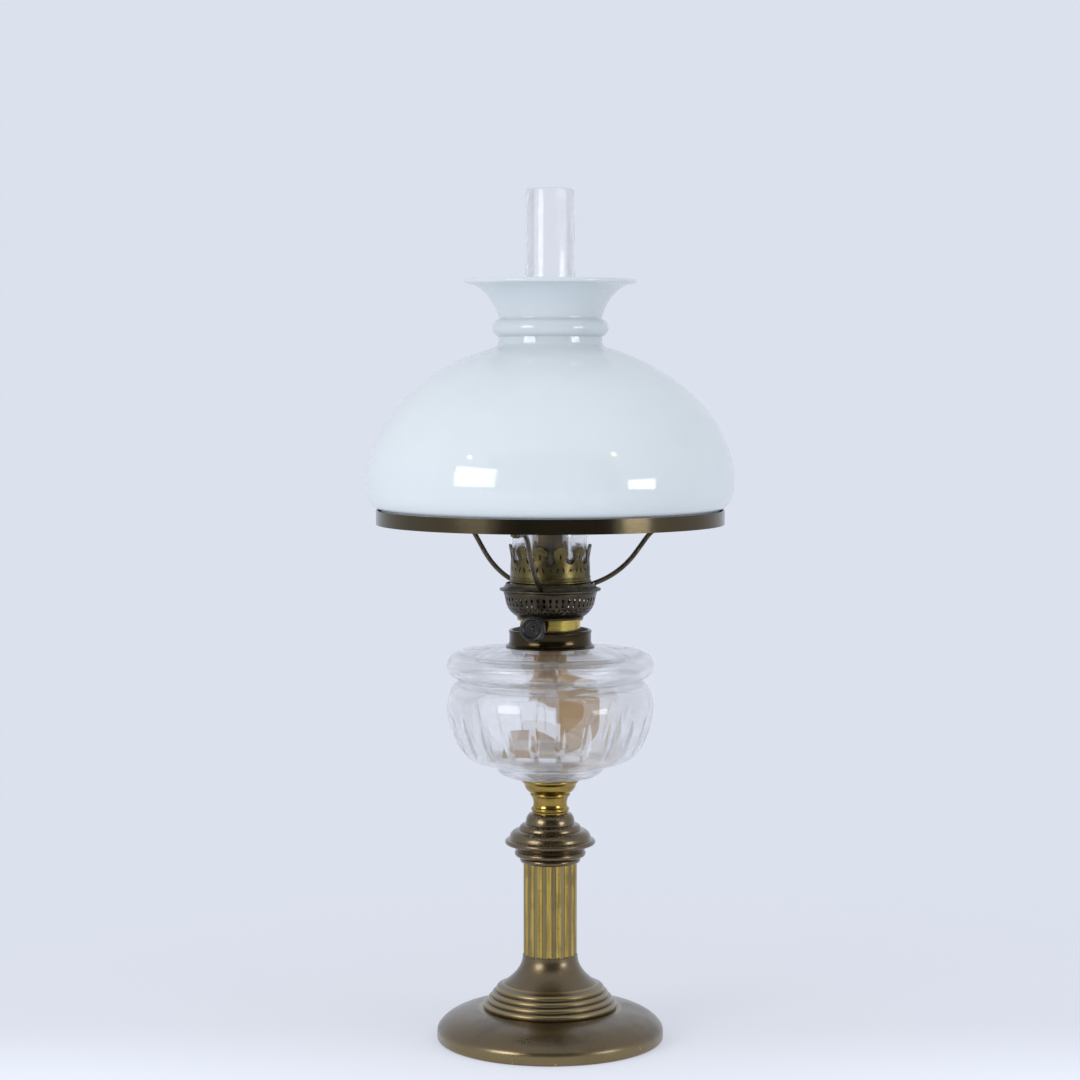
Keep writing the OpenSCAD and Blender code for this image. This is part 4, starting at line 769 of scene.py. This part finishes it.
class LAMP_OT_knob(bpy.types.Operator):
    """Stamp the wick knob with its rings, beads and milled rim"""

    bl_idname = "lamp.knob"
    bl_label = "Knob"

    radius, thick, reach, turn, offset = 9.0, 3.6, 48.0, -11.3, 3.0
    dish, hub_r, fillet = 1.2, 3.6, 0.25
    ring_r, ring_half = 4.05, 0.5
    small_r, small_half = 2.34, 0.36
    flat_out, flat_in = 1.8, 1.62
    boss_r, boss_h = 1.53, 1.1
    beads, bead_at, bead_r, bead_rows, bead_cols = 30, 6.3, 0.42, 4, 8
    notches, notch_steps, notch_depth, notch_in, notch_over = 40, 6, 0.022, 8.37, 0.45

    def execute(self, context):
        m = context.scene.lamp_metal
        lo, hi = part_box("wick_shaft")
        shaft_z = (lo.z + hi.z) / 2
        place = (Matrix.Rotation(math.radians(self.turn), 4, "Z")
                 @ Matrix.Translation((-self.offset * MM, 0, shaft_z)) @ Matrix.Rotation(math.pi / 2, 4, "X")
                 @ Matrix.Translation((0, 0, (self.reach - self.thick) * MM)))
        points, faces = self.disc()
        for i in range(self.beads):
            self.bead(points, faces, 2 * math.pi * i / self.beads)
        black = aged_metal("knob_black", m.knob, toned(m.knob, 0.35), rough=(0.22, 0.4), clouds=0.005,
                           dark_share=(0.5, 0.75), specks=0.6, lathe=0.3)
        piece("wick_knob", placed(np.array(points), place), faces, black, "knob", "gunmetal", "knob")
        return {"FINISHED"}

    def disc(self):
        r, rim, face, step = self.radius, self.thick / 2, self.thick - self.dish, 0.4
        profile = joined(
            [[0, 0], [self.hub_r, 0], [self.ring_r, self.dish], [r - rim, self.dish]],
            arc((r - rim, rim), rim, -60, 120, n=14),
            [[r - 2 * rim + self.fillet, face]],
            line((r - 2 * rim, face), (self.ring_r + self.ring_half, face), step=step),
            arc((self.ring_r, face), self.ring_half, 0, 180, n=8),
            line((self.ring_r - self.ring_half, face), (self.small_r + self.small_half, face), step=step),
            arc((self.small_r, face), self.small_half, 0, 180, n=6),
            line((self.flat_out, face), (self.flat_in, face), step=step),
            arc((0, face), self.boss_r, 0, 90, n=8, ry=self.boss_h))
        steps = self.notches * self.notch_steps
        points, faces = turned(profile, steps)
        ring = points.reshape(steps, -1, 3)
        out = np.clip((np.hypot(ring[..., 0], ring[..., 1]) / MM - self.notch_in) / self.notch_over, 0, 1)
        notch = 0.5 - 0.5 * np.cos(np.arange(steps) / self.notch_steps * 2 * np.pi)
        ring[..., :2] *= (1 - self.notch_depth * out * notch[:, None])[..., None]
        return [tuple(p) for p in ring.reshape(-1, 3)], faces

    def bead(self, points, faces, turn):
        """A small half round bead on the face."""
        first, rows, cols, r = len(points), self.bead_rows, self.bead_cols, self.bead_r
        x, y, z = self.bead_at * math.cos(turn), self.bead_at * math.sin(turn), self.thick - self.dish
        for i in range(rows):
            b = math.pi / 2 * i / rows
            across, high = r * math.cos(b), z + r * math.sin(b)
            for j in range(cols):
                a = 2 * math.pi * j / cols
                points.append(((x + across * math.cos(a)) * MM, (y + across * math.sin(a)) * MM, high * MM))
        points.append((x * MM, y * MM, (z + r) * MM))
        for i in range(rows - 1):
            for j in range(cols):
                a, b = first + i * cols + j, first + i * cols + (j + 1) % cols
                faces.append((a, b, b + cols, a + cols))
        last = first + (rows - 1) * cols
        for j in range(cols):
            faces.append((last + j, last + (j + 1) % cols, len(points) - 1))


class LAMP_OT_wick(bpy.types.Operator):
    """Weave the round wick and its two tails in the font"""

    bl_idname = "lamp.wick"
    bl_label = "Wick"

    wick_r, wick_t, worn_h = 11.3, 2.2, 0.8
    open_w, open_top, turn, open_edge = 14.0, 315.0, -11.3, 2.0
    sleeve_steps, slit_cols, row_step = 120, 91, 3.0
    tail_w, short_w, short_drop = 30.0, 22.0, 42.0
    # Cloth width of the short tail with its waves and its round start laid flat
    short_flat = 25.5
    split_x, split_gap, long_a1, short_a1 = 4.0, 0.2, 69.0, 71.0
    round_len, blend_len = 12.5, 26.0
    overlap, behind = 3.0, 4.4
    bend_r, run, lean, lean_from = 14.0, 36.0, 32.0, 0.6
    twist, twist_before, twist_len = 80.0, 16.0, 42.0
    waves, wave_h, long_drift, short_drift = 2, 0.9, 250.0, 90.0
    ragged, ragged_turn = 3.0, 140.0
    edge_power, edge_thin = 12, 0.05
    long_grid, short_grid = (150, 34), (60, 30)

    def execute(self, context):
        cotton = woven_cotton(context.scene.lamp_wick)
        self.top = foot_of("wick")
        self.mid = self.wick_r - self.wick_t / 2
        half = math.degrees(math.asin(self.open_w / 2 / self.mid))
        self.long_a0 = self.turn - 90 + half + self.open_edge
        self.short_a0 = self.turn + 270 - half - self.open_edge
        self.floor_z = foot_of("wick_tail_long") + self.wick_t / 2 + self.wave_h
        self.drop = self.top - self.floor_z - self.bend_r
        self.long_len = self.drop + self.bend_r * math.pi / 2 + self.run
        self.sleeve(cotton, half)
        tail = self.band("wick_long_tail", self.long_tail, *self.long_grid, cotton, None, "wick_tail_long")
        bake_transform(tail)
        tail = self.band("wick_short_tail", self.short_tail, *self.short_grid, cotton, "wick",
                         "wick_tail_short")
        return {"FINISHED"}

    def sleeve(self, cotton, half):
        """Round sleeve, slit at the front below open_top, with a soft worn top edge."""
        r1, r0, low, step = self.wick_r, self.wick_r - self.wick_t, self.open_top, self.row_step
        high = top_of("wick") - self.worn_h
        upper, faces = turned(joined(
            line((r1, low), (r1, high), step=step),
            arc((self.mid, high), self.wick_t / 2, 0, 180, n=8, ry=self.worn_h),
            line((r0, high), (r0, low), step=step)), self.sleeve_steps)
        a = np.radians(np.linspace(self.turn - 90 + half, self.turn + 270 - half, self.slit_cols))
        wall = joined(line((r1, self.top), (r1, low), step=step),
                      line((r0, low), (r0, self.top), step=step))
        grid = [np.column_stack((r * np.cos(a), r * np.sin(a), np.full(len(a), z))) * MM for r, z in wall]
        first, rows, cols = len(upper), len(grid), len(a)
        for i in range(rows):
            for j in range(cols - 1):
                p, q = first + i * cols + j, first + (i + 1) % rows * cols + j
                faces.append((p, p + 1, q + 1, q))
        for j in (0, cols - 1):
            loop = [first + i * cols + j for i in range(rows)]
            faces.append(loop if j else loop[::-1])
        piece("wick_sleeve", np.vstack((upper, *grid)), faces, cotton, "wick", "cotton", "wick")

    def line_at(self, s):
        """Middle line of the long tail: down, round a bend and along the floor."""
        x0 = self.split_x + self.split_gap + self.tail_w / 2
        a = np.clip((s - self.drop) / self.bend_r, 0, np.pi / 2)
        over = np.maximum(s - self.drop - self.bend_r * np.pi / 2, 0)
        x = x0 - self.bend_r * (1 - np.cos(a)) - over
        z = np.where(s < self.drop, self.top - s, self.floor_z + self.bend_r * (1 - np.sin(a)))
        return x, z

    @staticmethod
    def soft(t):
        c = np.clip(t, 0, 1)
        return c * c * (3 - 2 * c)

    def wave(self, u, v, drift):
        """Waves across a tail that drift by so many degrees along it."""
        return self.wave_h * np.sin(np.radians(180 * self.waves * u + drift * v))

    def freed(self, u, s, a0, a1, hang):
        """A tail that starts round, as part of the sleeve, and goes over into how it hangs."""
        a = np.radians(a0 + (a1 - a0) * (u + 1) / 2)
        first = np.stack((self.mid * np.cos(a), self.mid * np.sin(a), self.top - s), -1)
        share = self.soft((s - self.round_len) / self.blend_len)[..., None]
        return first + (hang - first) * share

    def long_tail(self, u, v):
        s = v * self.long_len
        x, z = self.line_at(s)
        twist = np.radians(self.twist * self.soft((s - self.drop + self.twist_before) / self.twist_len))
        wave = self.wave(u, v, self.long_drift)
        side = u * self.tail_w / 2
        lean = self.soft((s - self.drop - self.bend_r * self.lean_from) / self.run) * math.radians(self.lean)
        rise = (side + self.tail_w / 2) * np.sin(lean)
        hang = np.stack((x + side * np.cos(twist),
                         side * np.sin(twist) * np.cos(lean) + wave * np.cos(twist),
                         z + rise + wave * np.sin(twist)), -1)
        return self.freed(u, s, self.long_a0, self.long_a1, hang)

    def short_tail(self, u, v):
        s = v * (self.short_drop + self.ragged * np.sin(np.radians(self.ragged_turn * u)))
        x = self.split_x + self.overlap + (u - 1) * self.short_w / 2
        hang = np.stack((x, self.behind + self.wave(u, v, self.short_drift), self.top - s), -1)
        return self.freed(u, s, self.short_a0, self.short_a1, hang)

    def band(self, name, shape, rows, cols, cotton, body, node):
        """A soft band of the wick's thickness with rounded edges over the middle surface."""
        v, u = np.meshgrid(np.linspace(0, 1, rows + 1), np.linspace(-1, 1, cols + 1), indexing="ij")
        p = shape(u, v)
        across = np.gradient(p, axis=1)
        down = np.gradient(p, axis=0)
        down[0] = (0, 0, -1)
        n = np.cross(across, down)
        n /= np.linalg.norm(n, axis=-1)[..., None]
        round_edge = np.sqrt(np.clip(1 - np.abs(u) ** self.edge_power, self.edge_thin, 1))
        half = self.wick_t / 2 * round_edge[..., None]
        points = np.vstack(((p + n * half).reshape(-1, 3), (p - n * half).reshape(-1, 3))) * MM
        w, back, faces = cols + 1, (rows + 1) * (cols + 1), []
        for i in range(rows):
            for j in range(cols):
                a = i * w + j
                faces.append((a, a + 1, a + w + 1, a + w))
                faces.append((back + a, back + a + w, back + a + w + 1, back + a + 1))
        ring = [*range(cols), *range(cols, back - 1, w),
                *range(back - 1, rows * w, -1), *range(rows * w, 0, -w)]
        for a, b in zip(ring, ring[1:] + ring[:1]):
            faces.append((a, back + a, back + b, b))
        return piece(name, points, faces, cotton, body, "cotton", node, smooth=75)


class LAMP_OT_holder(bpy.types.Operator):
    """Finish the seat ring, arms, shade ring and rivets"""

    bl_idname = "lamp.holder"
    bl_label = "Shade holder"

    arm_dark, ring_dark = (0.045, 0.036, 0.022), (0.06, 0.046, 0.026)

    def execute(self, context):
        m = context.scene.lamp_metal
        dress(aged_metal("holder_bronze", m.holder, self.arm_dark, rough=(0.26, 0.42), clouds=0.008,
                         lathe=0.3, lacquer=0.4),
              "holder_arm_1", "holder_arm_2", "holder_arm_3", "seat_ring")
        dress(aged_metal("ring_bronze", m.holder, self.ring_dark, rough=(0.12, 0.2), clouds=0.05,
                         dark_share=(0.5, 0.9), specks=0.2, lathe=0.5), "shade_ring", "ring_rivets")
        return {"FINISHED"}


class LAMP_OT_shade(bpy.types.Operator):
    """Blow the opal shade"""

    bl_idname = "lamp.shade"
    bl_label = "Shade"

    wall, rim_r, rim_h, rim_step, rim_pull = 3.0, 116.2, 8.7, 0.2, 3.5
    belly_r, belly_h = 126.4, 28.7
    dome_h, power, dome_rows = 96.5, 1.9, 48
    neck_r, bead_rise, bulge, bead_half = 35.6, 12.4, 4.2, 6.0
    fillet_w, fillet_h = 5.0, 2.4
    flare_h, flare_pull, flare_start, top_r = 30.0, (4.4, 16.0), (-0.3, 1.0), 59.5
    lip_w, lip_h = 7.5, 1.0
    steps = 256

    def execute(self, context):
        g = context.scene.lamp_glass
        outer, inner = self.outline()
        base = foot_of("shade")
        points, faces = shell(outer, inner, base, self.steps)
        opal = opal_glass(g.opal, (base + self.dome(self.neck_r)[-1][1]) * MM)
        piece("opal_shade", points, faces, opal, "shade", "opal_glass", "shade", smooth=50)
        return {"FINISHED"}

    def dome(self, to_r):
        """The dome from its largest radius up to where its radius has shrunk to to_r."""
        t = np.linspace(0, math.acos((to_r / self.belly_r) ** (self.power / 2)), self.dome_rows + 1)
        e = 2 / self.power
        return np.column_stack((self.belly_r * np.cos(t) ** e, self.belly_h + self.dome_h * np.sin(t) ** e))

    def outline(self):
        dome = self.dome(self.neck_r + self.fillet_w)
        corner = self.dome(self.neck_r)[-1]
        big = (self.bead_half**2 + self.bulge**2) / (2 * self.bulge)
        half = math.degrees(math.asin(self.bead_half / big))
        mid = corner[1] + self.bead_rise
        flare, top = np.array((self.neck_r, mid + self.bead_half)) + self.flare_start, mid + self.flare_h
        wall = joined(
            line((self.rim_r, 0), (self.rim_r, self.rim_h)),
            bend((self.rim_r, self.rim_h + self.rim_step), (self.belly_r, self.rim_h + self.rim_pull),
                 (self.belly_r, self.belly_h), n=20),
            dome,
            bend(dome[-1], corner, corner + (0, self.fillet_h), n=12),
            arc((self.neck_r + self.bulge - big, mid), big, -half, half, n=20),
            bend(flare, flare + self.flare_pull, (self.top_r - self.lip_w, top - self.lip_h), n=20),
            [[self.top_r - self.wall / 2, top]])
        inner = beside(wall, self.wall)
        c = (wall[-1] + inner[-1]) / 2
        a = math.degrees(math.atan2(*(wall[-1] - c)[::-1]))
        return joined(wall, arc(c, self.wall / 2, a, a + 180, n=10)[1:-1]), inner


class LAMP_OT_chimney(bpy.types.Operator):
    """Draw the clear chimney"""

    bl_idname = "lamp.chimney"
    bl_label = "Chimney"

    wall, base_r, base_h = 1.6, 26.2, 37.0
    knee_h, knee_slope = 50.0, 2.0
    waist_r, waist_h, swell_h, swell_pull = 14.8, 59.0, 14.0, (0.4, 6.0)
    tube_r, tube_step, top_r, high = 18.4, 8.0, 16.4, 272.2
    ripple, body, haze = 0.00005, 0.58, 0.02
    steps = 128

    def execute(self, context):
        g = context.scene.lamp_glass
        outer, inner = self.outline()
        points, faces = shell(outer, inner, foot_of("chimney"), self.steps)
        glass = clear_glass("chimney_glass", g.clear, self.ripple, self.body, self.haze)
        piece("glass_chimney", points, faces, glass, "chimney", "clear_glass", "chimney", smooth=50)
        return {"FINISHED"}

    def outline(self):
        knee = np.array(((self.base_r + self.waist_r) / 2, self.knee_h))
        waist = np.array((self.waist_r, self.waist_h))
        tube = (self.tube_r, self.waist_h + self.swell_h)
        wall = joined(
            line((self.base_r, 0), (self.base_r, self.base_h)),
            bend((self.base_r, self.base_h), (self.base_r, self.knee_h - self.knee_slope), knee),
            bend(knee, (self.waist_r, self.knee_h + self.knee_slope), waist),
            bend(waist, waist + self.swell_pull, tube),
            line(tube, (self.top_r, self.high), step=self.tube_step))
        inner = beside(wall, self.wall)
        return joined(wall, arc((wall[-1] + inner[-1]) / 2, self.wall / 2, 0, 180, n=8)[1:-1]), inner


OPERATORS = (LAMP_OT_stage, LAMP_OT_stand, LAMP_OT_font, LAMP_OT_burner, LAMP_OT_knob, LAMP_OT_wick,
             LAMP_OT_holder, LAMP_OT_shade, LAMP_OT_chimney)


class LAMP_PT_sidebar(bpy.types.Panel):
    """Buttons and settings of the lamp"""

    bl_idname = "LAMP_PT_sidebar"
    bl_label = "Kerosene lamp"
    bl_space_type = "VIEW_3D"
    bl_region_type = "UI"
    bl_category = "Lamp"

    def draw(self, context):
        for maker in OPERATORS:
            self.layout.operator(maker.bl_idname)
        for name, group in SETTINGS.items():
            box = self.layout.box()
            for key in group.__annotations__:
                box.prop(getattr(context.scene, name), key)


def register():
    for group in SETTINGS.values():
        bpy.utils.register_class(group)
    for name, group in SETTINGS.items():
        setattr(bpy.types.Scene, name, PointerProperty(type=group))
    for maker in OPERATORS:
        bpy.utils.register_class(maker)
    bpy.utils.register_class(LAMP_PT_sidebar)


def unregister():
    bpy.utils.unregister_class(LAMP_PT_sidebar)
    for maker in reversed(OPERATORS):
        bpy.utils.unregister_class(maker)
    for name in SETTINGS:
        delattr(bpy.types.Scene, name)
    for group in reversed(list(SETTINGS.values())):
        bpy.utils.unregister_class(group)


def main():
    register()
    for maker in OPERATORS:
        family, action = maker.bl_idname.split(".")
        getattr(getattr(bpy.ops, family), action)()


if __name__ == "__main__":
    main()
